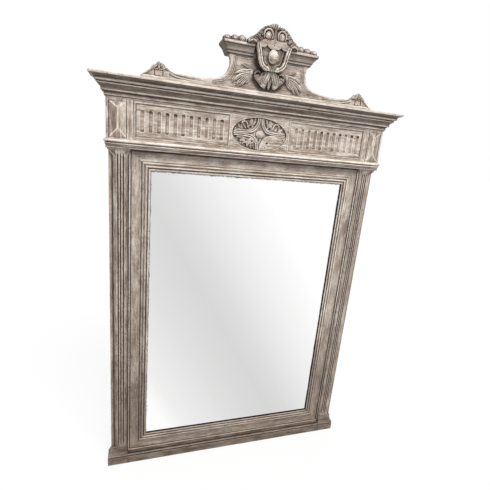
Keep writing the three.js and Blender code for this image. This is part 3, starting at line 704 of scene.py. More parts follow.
def relief(name, dom, res, fn, yfront, yback, rep, tone=1.0, grain=0, mirror=False, drop=3.0, s1=1.4, s2=4.5, k1=0.55, k2=1.9,
           halo=None, shine=None, angle=55, seed=3, wob=0.12, ca=1.0, ha=1.0, edge_dark=0.0, mat=None, wall=0.0):
    """Carved board: fn(X, Z) gives (inside measure, height towards the front). The outline is cut exactly
    where the measure is zero, and walls go back to yback."""
    x0, x1, z0, z1 = dom
    nx, nz = int(round((x1 - x0) / res)) + 1, int(round((z1 - z0) / res)) + 1
    xs, zs = np.linspace(x0, x1, nx), np.linspace(z0, z1, nz)
    X, Z = np.meshgrid(xs, zs)
    G, H = fn(X, Z)[:2]
    G = np.asarray(G, float).copy()
    G[0], G[-1], G[:, 0], G[:, -1] = -1, -1, -1, -1
    H = H + wob * noise(X / 9.0, Z / 9.0, 0, seed) + 0.5 * wob * noise(X / 3.0, Z / 3.0, 4, seed)
    ins = G > 0
    Hx = np.where(ins, H, H[ins].min() - drop if ins.any() else 0)
    Hc = np.where(ins, H, -drop)
    # hollows get cav (wax and painted shade), rounds get hi (wear and painted highlight); edge_dark and halo add
    # painted shade (with wax), shine adds painted highlight
    d1, d2 = blur(Hc, s1 / res) - H, blur(Hc, s2 / res) - H
    cav = (np.clip(d1 / k1, 0, 1) * 0.6 + np.clip(d2 / k2, 0, 1) * 0.55) * ca
    hiv = (np.clip(-d1 / k1, 0, 1) * 0.8 + np.clip(-d2 / k2, 0, 1) * 0.15) * ha
    if edge_dark:
        cav = np.maximum(cav, edge_dark * np.exp(-np.clip(G, 0, 99) / 1.3))
    if halo is not None:
        cav = np.maximum(cav, halo(X, Z))
    cav = cav * (1 + 0.25 * noise(X / 12.0, Z / 12.0, 2, seed))
    if shine is not None:
        hiv = np.maximum(hiv, shine(X, Z))
    hiv = hiv * (0.85 + 0.5 * noise(X / 10.0, Z / 10.0, 6, seed)) * (1 - 0.7 * np.clip(cav, 0, 1))
    pts, at = [], []
    idx = -np.ones(ins.shape, int)
    idx[ins] = np.arange(ins.sum())
    base = int(ins.sum())
    V0 = np.stack([X[ins], yfront - H[ins], Z[ins]], 1)
    A0 = np.stack([cav[ins], hiv[ins]], 1)
    # crossings on horizontal and vertical grid edges
    def cross(sa, sb):
        ga, gb = G[sa], G[sb]
        c = (ga > 0) != (gb > 0)
        t = np.where(c, ga / (ga - gb + 1e-12), 0)
        ina = ga > 0
        h = np.where(ina, H[sa], H[sb])
        P = np.stack([X[sa] + (X[sb] - X[sa]) * t, yfront - h, Z[sa] + (Z[sb] - Z[sa]) * t], -1)
        a = np.where(ina[..., None], np.stack([cav[sa], hiv[sa]], -1), np.stack([cav[sb], hiv[sb]], -1))
        return c, P, a
    hc, hP, hA = cross((slice(None), slice(0, -1)), (slice(None), slice(1, None)))
    vc, vP, vA = cross((slice(0, -1), slice(None)), (slice(1, None), slice(None)))
    hid = -np.ones(hc.shape, int)
    hid[hc] = base + np.arange(hc.sum())
    vid = -np.ones(vc.shape, int)
    vid[vc] = base + int(hc.sum()) + np.arange(vc.sum())
    V = np.concatenate([V0, hP[hc], vP[vc]])
    A = np.concatenate([A0, hA[hc], vA[vc]])
    code = ins[:-1, :-1] * 1 + ins[:-1, 1:] * 2 + ins[1:, 1:] * 4 + ins[1:, :-1] * 8
    corner = [idx[:-1, :-1], idx[:-1, 1:], idx[1:, 1:], idx[1:, :-1]]
    edge = [hid[:-1, :], vid[:, 1:], hid[1:, :], vid[:, :-1]]
    src = corner + edge
    cases = {15: [[0, 1, 2, 3]], 1: [[0, 4, 7]], 2: [[1, 5, 4]], 4: [[2, 6, 5]], 8: [[3, 7, 6]], 3: [[0, 1, 5, 7]], 6: [[1, 2, 6, 4]],
             12: [[2, 3, 7, 5]], 9: [[0, 4, 6, 3]], 7: [[0, 1, 2, 6, 7]], 14: [[1, 2, 3, 7, 4]], 13: [[0, 4, 5, 2, 3]],
             11: [[0, 1, 5, 6, 3]], 5: [[0, 4, 7], [2, 6, 5]], 10: [[1, 5, 4], [3, 7, 6]]}
    F, nxt = [], {}
    for c, polys in cases.items():
        sel = code == c
        if not sel.any():
            continue
        for poly in polys:
            fs = np.stack([src[k][sel] for k in poly], 1)
            F += fs.tolist()
            for a in range(len(poly)):
                p, q = poly[a], poly[(a + 1) % len(poly)]
                if p >= 4 and q >= 4:
                    for s_, e_ in zip(fs[:, a].tolist(), fs[:, (a + 1) % len(poly)].tolist()):
                        nxt[s_] = e_
    # walls and back
    nb = len(V)
    order = list(nxt)
    m_ = len(order)
    BV = V[order].copy()
    mid = {v: v for v in order}
    if wall:                      # the flanks of high carving get painted shade and wax
        MV = BV.copy()
        MV[:, 1] = np.minimum(MV[:, 1] + 2.0, (MV[:, 1] + yback) / 2)
        V = np.concatenate([V, MV])
        A = np.concatenate([A, np.stack([np.full(m_, wall), np.zeros(m_)], 1)])
        mid = {v: nb + k for k, v in enumerate(order)}
        for p, q in nxt.items():
            F.append([q, p, mid[p], mid[q]])
        nb += m_
    bid = {v: nb + k for k, v in enumerate(order)}
    BV[:, 1] = yback
    V = np.concatenate([V, BV])
    A = np.concatenate([A, np.stack([np.full(m_, wall or 0.35), np.zeros(m_)], 1)])
    for p, q in nxt.items():
        F.append([mid[q], mid[p], bid[p], bid[q]])
    seen = set()
    for p in order:
        if p in seen:
            continue
        loop = []
        while p not in seen:
            seen.add(p)
            loop.append(bid[p])
            p = nxt[p]
        F.append(loop[::-1])
    g = V[:, [0, 2, 1]] if grain == 0 else V[:, [2, 0, 1]]
    return build(name, V, F, mat or OAK, rep, cav=A[:, 0], hi=A[:, 1], gco=g, tone=tone, angle=angle, mirror=mirror)


def both(maker, name, rep, **kw):
    """The right-hand piece and its mirror image, each with its own wear."""
    maker(f"right_{name}", f"right_{rep}", mirror=False, seed=kw.get("seed", 11))
    maker(f"left_{name}", f"left_{rep}", mirror=True, seed=kw.get("seed", 11) + 29)


# how dark each part of the frame is (tone multiplier)
TONE = {"pil": 0.80, "side": 0.84, "top": 1.04, "bottom": 0.60, "plinth": 0.33, "stile": 0.60, "cornice": 1.12, "frieze": 1.20, "arch": 1.08, "crest": 1.14}


def by_height(base, zs, ks, seed=0):
    """The uprights are darker towards the foot, in uneven patches."""
    return lambda a, b, t: base * np.interp(t, zs, ks) * (1 + 0.16 * noise(t / 130.0, a / 60.0, 0, seed) + 0.10 * noise(t / 38.0, a / 16.0, 2, seed))

# ------------------------------------------------------------------ mouldings
FRAME_FRONT = [(0, 10.7), (0, 7.6), (0.9, 6.6), (6.2, 6.6), (7.2, 8.6), (10.6, 8.6), (11.6, 6.6), (18.6, 6.2, -1.9), (24.4, 5.6, 0.7),
               (25.2, 5.1), (30.6, 5.6, -1.1), (31.4, 7.0), (33.6, 6.9), (34.6, 6.2), (68.0, 6.2, 3.7), (69.2, 8.4), (70.8, 8.4),
               (71.8, 5.6), (78.2, 5.2, -2.0), (79.5, 7.5)]
FRAME_BACK = [(79.5, 34), (9, 34), (9, 10.7)]
# FLIGHT and the light spots paint highlights on the beads and rounds; the dark spots paint shade (with wax) in the
# quirks, at the glass edge and at the outer step, and on the top board the shadow under the architrave
FLIGHT = [((28, 4.4), 2.4, 0.1), ((3.5, 6.6), 3, 0.3), ((50, 10), 10, 0.3), ((14.5, 5), 3, 0.2), ((20.5, 5.8), 2, 0.2)]
fpl = profile(FRAME_FRONT, -1, dark=[((0, 9.8), 1.6, 1.0), ((9, 8.6), 2.2, 0.8), ((16, 5.2), 5.0, 0.26), ((26.5, 5.2), 2.4, 0.3), ((30.8, 6.2), 2.8, 1.0), ((71, 7.6), 3.0, 0.95), ((78.8, 6.6), 2.4, 1.0)], light=FLIGHT)
fpr = profile(FRAME_FRONT, -1, dark=[((0, 9.8), 2.2, 1.0), ((10, 8.6), 2.2, 0.7), ((33, 6.9), 1.6, 0.3), ((70.8, 8.2), 3.4, 1.0), ((79.2, 7.0), 1.6, 0.6)], light=FLIGHT)
fpt = profile(FRAME_FRONT, -1, dark=[((0, 9.8), 2.0, 1.0), ((9, 8.6), 2.0, 0.8), ((32.4, 7.0), 1.6, 0.55), ((70.6, 8.2), 4.0, 1.0), ((75.5, 5.0), 3.6, 1.0)], light=FLIGHT)
fpb = profile(FRAME_FRONT, -1, dark=[((0, 9.8), 1.6, 0.9), ((9, 8.6), 2.0, 0.75), ((32.4, 7.0), 1.8, 0.55), ((70.6, 8.2), 2.6, 0.95), ((78.8, 6.6), 2.0, 0.9)],
              light=FLIGHT + [((75, 3.5), 2.0, 0.3)])
S, B0, T0_, W = 414.5, 131.0, 1337.0, 79.5
sweep("right_frame_board", fpr, FRAME_BACK, lambda a, b: B0 - a + 0.2, lambda a, b: T0_ + a - 0.2, lambda a, b, t: (S + a, b, t),
      "right_frame_board", seed=21, tone=by_height(TONE["side"], [60, 220, 400, 620, 900, 1300], [0.60, 0.64, 0.72, 1.08, 1.32, 1.24], 3), ends=(0.12, 0.12))
sweep("left_frame_board", fpl, FRAME_BACK, lambda a, b: B0 - a + 0.2, lambda a, b: T0_ + a - 0.2, lambda a, b, t: (-S - a, b, t),
      "left_frame_board", seed=22, tone=by_height(TONE["side"], [60, 250, 450, 700, 950, 1250], [0.60, 0.62, 0.70, 1.0, 1.14, 1.30], 4), ends=(0.12, 0.12))
sweep("top_frame_board", fpt, FRAME_BACK, lambda a, b: -S - a + 0.2, lambda a, b: S + a - 0.2, lambda a, b, t: (t, b, T0_ + a),
      "top_frame_board", seed=23, tone=TONE["top"], ends=(0.12, 0.12))
sweep("bottom_frame_board", fpb, FRAME_BACK, lambda a, b: -S - a + 0.2, lambda a, b: S + a - 0.2, lambda a, b, t: (t, b, B0 - a),
      "bottom_frame_board", seed=24, tone=TONE["bottom"], ends=(0.12, 0.12))

PIL = [(494.3, 8), (494.3, 1.0), (495.2, 0), (509.2, 0), (514.6, 0, -3.2), (519.2, 0), (524.4, 0, -3.2), (528.6, 0), (534.0, 0, -3.2), (548.0, 0),
       (549, 1.0), (549, 8)]
PIL = [(p[0], p[1]) if len(p) < 3 else (p[0], p[1], -p[2]) for p in PIL]
# the dark spots paint shade (with wax) in the flutes and on the pilaster's edges, where it steps down to the stile and
# the frame
GROOVES = [((511.9, 3.2), 1.9, 0.58), ((521.8, 3.2), 1.8, 0.6), ((531.3, 3.2), 1.9, 0.58)]
GROOVES_R = [((511.9, 3.2), 2.6, 0.42), ((521.8, 3.2), 2.6, 0.42), ((531.3, 3.2), 2.6, 0.42), ((521, 0), 13, 0.22)]
ppl = profile(PIL, -1, ds=0.6, dark=GROOVES + [((549, 5.0), 4.2, 1.0), ((548.6, 0.4), 1.8, 0.8), ((494.3, 4.0), 4.6, 1.0), ((494.8, 0.3), 2.0, 0.75)])
ppr = profile(PIL, -1, ds=0.6, dark=GROOVES_R + [((549, 7.5), 3, 0.9), ((494.3, 6.0), 4.2, 0.9)])
pp = ppr


def pilaster(sg):
    def fade(t):
        return sstep(t, 88, 116)

    def place(a, b, t):
        inner = (a > 500) & (a < 542) & (b < 6)
        return sg * a, np.where(inner, b * fade(t), b), t

    def extra(a, b, T, c, h):
        inner = (a > 503) & (a < 540)
        return np.where(inner, c * fade(T), c), np.where(inner, h, h * 0.9)
    side = "right" if sg > 0 else "left"
    tn = by_height(TONE["pil"], [90, 350, 600, 900, 1250], [0.70, 0.78, 0.90, 0.98, 1.14] if sg > 0 else [0.58, 0.60, 0.74, 0.90, 1.10], 6 + sg)
    sweep(f"{side}_pilaster", ppr if sg > 0 else ppl, [], 86.3, 1382.0, place, f"{side}_pilaster", seed=31 + sg, tone=tn, ends=(0.0, 0.0), extra=extra)


pilaster(1)
pilaster(-1)

ARC = [(-13.2, 1410.3), (1.0, 1410.3), (2.0, 1411.2), (2.0, 1414.2), (0.8, 1415.4), (1.6, 1418.6), (4.8, 1424.0, 0.8), (4.8, 1427.2), (2.6, 1428.4),
       (3.0, 1430.2), (3.4, 1441.8, -4.4), (0.5, 1442.6), (0, 1443.0)]
# the dark spots paint the shade under the architrave and in its quirks, the light spots paint highlights on the bead
ap = profile(ARC, -1, ds=0.7, dark=[((2.6, 1428.8), 1.6, 1.0), ((0.8, 1415.6), 1.6, 1.0), ((-7, 1410.3), 7.5, 1.0)], light=[((7.8, 1437), 3.4, 1.3), ((2.0, 1412.8), 1.0, 0.6)])
sweep("architrave", ap, [(-20, 1443.0), (-20, 1417.1), (-13.2, 1417.1)], lambda o, z: -570 - o + 0.2, lambda o, z: 570 + o - 0.2,
      lambda o, z, t: (t, -12 - o, z), "architrave", seed=41, tone=TONE["arch"], ends=(0.3, 0.3))
for side, sg in (("right", 1), ("left", -1)):
    sweep(f"{side}_architrave_return", ap, [(-5.7, 1443.0), (-5.7, 1410.3)], lambda o, z: -12 - o + 0.2, 34,
          lambda o, z, t, sg=sg: (sg * (570 + o), t, z), f"{side}_architrave_return", seed=42 + sg, tone=TONE["arch"], ends=(0.3, 0))

COR = [(-19, 1578.3), (2.2, 1578.3), (2.2, 1582.4), (4.8, 1583.6), (5.2, 1594.0), (8.2, 1594.9), (8.4, 1596.5), (10.2, 1597.1), (14.4, 1602.6, -2.0),
       (14.0, 1603.8), (22.6, 1615.0, 2.6), (22.8, 1617.0), (25.6, 1617.6), (26.0, 1621.2), (24.8, 1622.4), (25.4, 1624.2), (28.4, 1624.8),
       (33.4, 1631.6, -2.4), (32.8, 1633.2), (43.6, 1640.0, 2.0), (44.6, 1641.2), (44.8, 1642.0), (49.0, 1642.3), (50, 1643.3), (50, 1649.0), (49.0, 1650)]
# the dark spots paint shade in the quirks and under the fillets, the light spots paint highlights on the rounds and the
# top fascia
cp = profile(COR, -1, ds=0.8, dark=[((3, 1582.6), 1.5, 1.0), ((8.3, 1596.1), 1.7, 1.0), ((22.8, 1616.6), 1.5, 0.9), ((25.2, 1623.6), 1.8, 1.0), ((45, 1641.8), 1.4, 0.8), ((14, 1603.6), 1.2, 0.6)],
             light=[((13, 1599.6), 2.2, 0.9), ((31.5, 1627.6), 2.6, 0.9), ((50, 1646), 3.5, 0.55), ((26, 1619.4), 1.2, 0.8), ((38, 1637), 3.0, 0.35)])
sweep("cornice", cp, [(-20, 1650), (-20, 1578.3)], lambda o, z: -570 - o + 0.2, lambda o, z: 570 + o - 0.2,
      lambda o, z, t: (t, -12 - o, z), "cornice", seed=51, tone=TONE["cornice"], ends=(0.3, 0.3))
for side, sg in (("right", 1), ("left", -1)):
    sweep(f"{side}_cornice_return", cp, [(-5.7, 1650), (-5.7, 1578.3)], lambda o, z: -12 - o + 0.2, 34,
          lambda o, z, t, sg=sg: (sg * (570 + o), t, z), f"{side}_cornice_return", seed=53 + sg, tone=TONE["cornice"], ends=(0.3, 0))

PLB = [(8, 0), (-14.2, 0), (-16, 2.0), (-16, 36.0), (-13.4, 37.0), (-13.2, 39.4), (-14.0, 40.6), (-13.8, 49.0, 1.9), (-11.4, 50.0), (-9, 51), (8, 51)]
# the dark spots paint shade in the quirk and along the top edge, the light spot paints a highlight on the round
bp = profile(PLB, 1, dark=[((-13.2, 38.3), 1.8, 1.0), ((-10, 50.6), 2.6, 1.0)], light=[((-15.8, 45), 2.4, 0.7)])
sweep("plinth_board", bp, [], -494.0, 494.0, lambda a, b, t: (t, a, b), "plinth_board", seed=61, tone=TONE["plinth"], wob=0.3, ends=(0.3, 0.3))

CB = [(-4, 1650.3), (-49, 1650.3), (-50, 1651.4), (-50, 1658.6), (-48.8, 1660), (-4, 1660)]
# the dark spot paints a line of shade at the foot of the front edge
cbp = profile(CB, 1, dark=[((-49.5, 1650.6), 1.2, 0.9)])
sweep("crest_base", cbp, [], -456, 456, lambda a, b, t: (t, a, b), "crest_base", seed=71, tone=1.05, ends=(0.3, 0.3))


# ------------------------------------------------------------------ plinth blocks, capitals, caps
def plinth_block(name, rep, mirror, seed):
    # the dark spot paints shade in the quirk, the light spots paint highlights on the round and the cove
    P, Nn, cav, hi_ = profile([(12.2, 0.0), (14, 2.0), (14, 36.0), (11.4, 37.0), (11.2, 39.4), (12.0, 40.6), (11.8, 49.0, -1.9), (9.6, 50.2),
                               (8.6, 53), (2.4, 70.0, 1.4), (0.4, 82), (0.2, 86)], -1, ds=1.5,
                              dark=[((11.2, 38.3), 1.8, 0.9)], light=[((13.6, 45), 2.4, 0.8), ((9.4, 52.4), 2.0, 0.5)])
    # P is (overhang, z): the front and the outer side share it
    lv = [(494.3, 563.8 + o, -1.9 - o, 34, z) for o, z in P]
    return loft(name, lv, rep, tone=TONE["plinth"] * 1.06, cav=cav, hi=hi_ * 0.8, grain=0, mirror=mirror, seed=seed, wob=0.35, cr=1.6, inner=0.0)


both(plinth_block, "plinth_block", "plinth_block", seed=81)


def capital(name, rep, mirror, seed):
    """The pilaster's section carried up into a bell that spreads to both sides under the architrave."""
    P, Nn, cav, hi_ = ppl if mirror else ppr
    keep = P[:, 1] < 6.5
    P, cav, hi_ = P[keep], cav[keep], hi_[keep]
    u = (P[:, 0] - 494.3) / 54.7
    zs = np.concatenate([np.linspace(1382.3, 1404, 20), [1405.5, 1407, 1408, 1409.2, 1410]])
    rows, C, H = [], [], []
    for z in zs:
        xo = np.interp(z, [1382.3, 1386, 1390, 1394.5, 1399, 1404, 1408, 1410], [549, 550.8, 553.8, 558, 562, 565.6, 567, 567])
        xi = np.interp(z, [1382.3, 1390, 1395, 1400, 1405, 1408, 1410], [494.3, 493.8, 492.4, 490.2, 488, 487, 487])
        yy = np.interp(z, [1382.3, 1388, 1394, 1400, 1405, 1408, 1410], [0, -0.5, -1.8, -3.6, -5.3, -6, -6])
        g = 1 - sstep(z, 1383, 1396)
        x = P[:, 0] + (xo - 549) * sstep(u, 0.74, 1.0) + (xi - 494.3) * (1 - sstep(u, 0.0, 0.22))
        d = np.clip(P[:, 1], 0, None)
        edge = (u < 0.03) | (u > 0.97)
        y = yy + np.where(edge, d, d * g)
        row = [(a, b, z) for a, b in zip(x, y)]
        row[0] = (xi, min(row[0][1], 1.0), z)
        xb = max(xi + 0.05, 494.5)
        row += [(xo, 8.0, z), (xb, 8.0, z), (xb, 1.2, z), (xi, 1.2, z)]
        c = np.where(edge, cav, cav * g)
        # flank paints shade in the hollow of the flare; h adds painted highlights along the top and both side edges
        ul = 0.80 + 0.10 * (z - 1384) / 20.0
        flank = 0.85 * np.exp(-((u - ul) / 0.045) ** 2) * np.exp(-((z - 1392) / 9.0) ** 4)
        flank = np.maximum(flank, 0.6 * np.exp(-((u - 0.12) / 0.05) ** 2) * np.exp(-((z - 1396) / 7.0) ** 2))
        c = np.maximum(c, flank)
        h = np.maximum(hi_, 0.95 * np.exp(-((z - 1408.2) / 1.6) ** 2))
        h = np.maximum(h, 0.95 * np.exp(-(np.minimum(np.abs(u - 0.975), np.abs(u - 0.02)) / 0.04) ** 2) * sstep(z, 1384, 1390))
        rows.append(row)
        C += list(c) + [0.9, 0.2, 0.2, 0.2]
        H += list(h) + [0, 0, 0, 0]
    n = len(rows[0])
    V = np.array([v for r in rows for v in r])
    m_ = len(rows)
    F = []
    for i in range(m_ - 1):
        for j in range(n):
            F.append([i * n + j, i * n + (j + 1) % n, (i + 1) * n + (j + 1) % n, (i + 1) * n + j])
    F += [list(range(n))[::-1], list(range((m_ - 1) * n, m_ * n))]
    return build(name, V, F, OAK, rep, cav=np.array(C), hi=np.array(H), gco=V[:, [2, 0, 1]], tone=TONE["pil"] * 1.15, mirror=mirror)


both(capital, "capital", "capital", seed=91)


def crest_cap(name, rep, mirror, seed):
    # the dark spots paint shade in the quirks, the light spots paint highlights on the fascia, the bead and the cyma;
    # outer paints shade on the return, more on the left cap
    P, Nn, cav, hi_ = profile([(1.5, 1769.0), (1.6, 1770.9), (4.6, 1772.0), (5.2, 1775.1), (6.4, 1776.2), (6.8, 1779.6), (9.4, 1780.9), (23.6, 1797.8, 2.2),
                               (23.8, 1800.0), (25.6, 1800.9), (26, 1802.1), (26, 1808.7), (25.2, 1809.5)], -1, ds=1.1,
                              dark=[((3, 1771.4), 2.2, 1.0), ((8, 1780.2), 2.3, 1.0), ((23.8, 1799.6), 1.9, 1.0)], light=[((26, 1804.4), 3, 0.7), ((5.6, 1775.8), 1.2, 0.7), ((15, 1789), 5, 0.35)])
    lv = [(67, 160 + o, -47 - 0.73 * o, -0.5, z) for o, z in P]
    return loft(name, lv, rep, tone=1.02, cav=cav, hi=hi_, mirror=mirror, seed=seed, wob=0.2, cr=1.4, step=9, outer=0.7 if mirror else 0.25)


both(crest_cap, "crest_cap", "crest_cap", seed=101)


# ------------------------------------------------------------------ frieze
def roof(X, Z):
    """Height measure of the hipped boss and the distance to its hips and ridge."""
    ax = np.abs(X - 530)
    zt, zb = 1568.0, 1449.5
    side = 27.5 - ax
    top, bot = (zt - Z) * 27.5 / 21.0, (Z - zb) * 27.5 / 30.0
    e = np.minimum(side, np.minimum(top, bot))
    hip = np.minimum(np.abs(side - np.minimum(top, bot)) * 0.62, np.where(side <= np.minimum(top, bot), ax, 99))
    return e, hip


def corner_block(name, rep, mirror, seed):
    def fn(X, Z):
        g = rect(X, Z, 474.2, 570, 1443.3, 1578)
        e, hip = roof(X, Z)
        h = np.where(e > 0, 0.5 + np.clip(e, 0, 27.5) * 0.232, 0)
        for xg in (500.5, 478.0, 561.0):
            h = h - 1.5 * np.exp(-((X - xg) / 1.0) ** 2)
        return g, h

    # shine paints highlights on the boss's hips and ridge and along a line near the edge; halo paints shade round the
    # foot of the boss, shade (with wax) in the grooves, and shade on its outer facets
    def shine(X, Z):
        e, hip = roof(X, Z)
        return np.where(e > 0, 0.8 * np.exp(-(hip / 2.0) ** 2), 0) + 0.5 * np.exp(-((X - 482) / 1.4) ** 2)

    def halo(X, Z):
        e, hip = roof(X, Z)
        c = 0.62 * np.exp(-((e + 0.8) / 1.5) ** 2)
        left = np.where((e > 0) & (hip > 2.5) & (X > 530), 0.30, 0.0)
        for xg, a in ((500.5, 0.5), (478.0, 0.45), (561.0, 0.4)):
            c = np.maximum(c, a * np.exp(-((X - xg) / 1.5) ** 2))
        c = np.maximum(c, left * sstep(X, 531, 540))
        return c * (1 - 0.8 * np.exp(-(hip / 2.0) ** 2) * (e > 0))
    return relief(name, (472, 572, 1441, 1580), 0.9, fn, -12, 8, rep, grain=2, mirror=mirror, seed=seed, drop=0.3, tone=TONE["frieze"], k1=0.4, k2=1.6, ha=1.2,
                  shine=shine, halo=halo)


both(corner_block, "corner_block", "corner_block", seed=111)
for side, sg in (("right", 1), ("left", -1)):
    a = 564.3 if sg > 0 else -570
    b = 570 if sg > 0 else -564.3
    plank(f"{side}_corner_block_cheek", a, b, 8.0, 34, 1443.3, 1578, (), grain=2, r=0.6, seed=115 + sg)

FL = [155.6 + 29.2 * i for i in range(11)]


def fluted_panel(name, rep, mirror, seed):
    rs = np.random.RandomState(seed)
    top_, bot_, sd_, wd_ = rs.uniform(0.35, 1.15, 11), rs.uniform(0.1, 1.1, 11), rs.uniform(0.35, 1.0, 11), rs.uniform(6.2, 7.4, 11)
    sl = -1 if not mirror else 1

    def fn(X, Z):
        g = rect(X, Z, 127.3, 468.7, 1456.3, 1567.7)
        h = np.zeros_like(X)
        for i, x in enumerate(FL):
            w = wd_[i]
            zt, zb = 1549 + 1.2 * math.sin(i * 1.7 + seed), 1472 + 1.2 * math.cos(i * 2.1 + seed)
            d = np.hypot(X - x, np.clip(np.maximum(Z - (zt - w), (zb + w) - Z), 0, None))
            q = np.clip(d / w, 0, 1)
            end = sstep(np.maximum(Z - (zt - 12), (zb + 10) - Z), 0, 10)
            h = h - np.where(q < 1, 4.0 * np.clip(1 - q ** 2.4, 0, 1) ** 0.6 * (0.9 + 0.16 * end), 0)
        h = h - 0.8 * np.exp(-np.clip(g, 0, 99) / 0.8)
        return g, h

    # halo paints shade (with wax) round the panel's edge, down one side of each flute and at its ends; shine paints a
    # highlight down the other side of each flute and inside the border
    def halo(X, Z):
        e = np.clip(rect(X, Z, 127.3, 468.7, 1456.3, 1567.7), 0, 99)
        c = (0.55 + 0.35 * noise(X / 40.0, Z / 40.0, 3, seed)) * np.exp(-e / 2.0)
        for i, x in enumerate(FL):
            w = wd_[i]
            inside = sstep(w * 1.02 - np.hypot(X - x, np.clip(np.maximum(Z - (1549 - w), (1472 + w) - Z), 0, None)), -0.6, 0.6)
            side = np.exp(-((X - x - sl * 3.6) / 2.3) ** 2) * sd_[i] * 0.75 * inside
            rag = 1 + 0.5 * noise(X / 5.0, Z / 8.0, i, seed)
            c = np.maximum(c, np.minimum(side * rag, 0.85))
            c = np.maximum(c, top_[i] * inside * np.exp(-((Z - 1543.5) / 5.5) ** 2))
            c = np.maximum(c, bot_[i] * inside * np.exp(-((Z - 1477.5) / 4.0) ** 2))
        return c

    def shine(X, Z):
        h = 0.0 * X
        for i, x in enumerate(FL):
            h = np.maximum(h, 0.75 * np.exp(-((X - x + sl * (wd_[i] + 1.0)) / 1.8) ** 2) * ((Z > 1474) & (Z < 1548)))
        e = rect(X, Z, 127.3, 468.7, 1456.3, 1567.7)
        return np.maximum(h, 0.2 * np.exp(-((e - 4.0) / 1.6) ** 2))
    return relief(name, (125, 471, 1454, 1570), 1.0, fn, -9.5, -5.3, rep, mirror=mirror, seed=seed, drop=-2.0, halo=halo, shine=shine, tone=TONE["frieze"], k1=1.0, k2=3.0,
                  ca=0.5)


both(fluted_panel, "fluted_panel", "fluted_panel", seed=121)


def frieze(X, Z):
    g = rect(X, Z, -473.7, 473.7, 1443.3, 1578)
    ax = np.abs(X)
    r = rect(ax, Z, 127, 469, 1456, 1568)
    h = np.where(r > -0.2, -7.0, 0.0)
    # a low bead round each fluted panel
    h = h + np.where(r < -0.2, 0.9 * np.exp(-((r + 3.4) / 1.8) ** 2) - 0.6 * np.exp(-((r + 7.0) / 1.1) ** 2), 0)
    q = np.hypot(X / 113.3, (Z - 1509.5) / 61.3)
    el = (1 - q) * 75
    h = np.where(el > 0, -9.0, h)
    return g, h


def frieze_halo(X, Z):
    ax = np.abs(X)
    r = rect(ax, Z, 127, 469, 1456, 1568)
    q = (1 - np.hypot(X / 113.3, (Z - 1509.5) / 61.3)) * 75
    # painted shade (with wax) on the sunk grounds round the fluted panels, in the oval (less at its lower right) and at
    # the board's ends
    c = np.where(r > -1.0, 0.62, 0.30 * np.exp(-((r + 7.0) / 1.4) ** 2))
    c = np.maximum(c, np.where(q > 0, 0.8 - 0.6 * sstep(X, -10, 30) * sstep(1500 - Z, -10, 20), 0))
    c = np.maximum(c, 0.6 * np.exp(-(473.7 - ax) / 1.5))
    # shade that collects under the cornice
    return np.maximum(c, 0.45 * np.exp(-(1578 - Z) / 2.5))


def frieze_shine(X, Z):
    ax = np.abs(X)
    r = rect(ax, Z, 127, 469, 1456, 1568)
    return 0.25 * np.exp(-((r + 3.4) / 1.8) ** 2)


relief("frieze_board", (-476, 476, 1441, 1580), 1.2, frieze, -12, 8, "frieze_board", seed=131, drop=0.3, halo=frieze_halo, shine=frieze_shine, tone=TONE["frieze"],
       k1=0.5, k2=2.6, ca=0.4, ha=0.5)


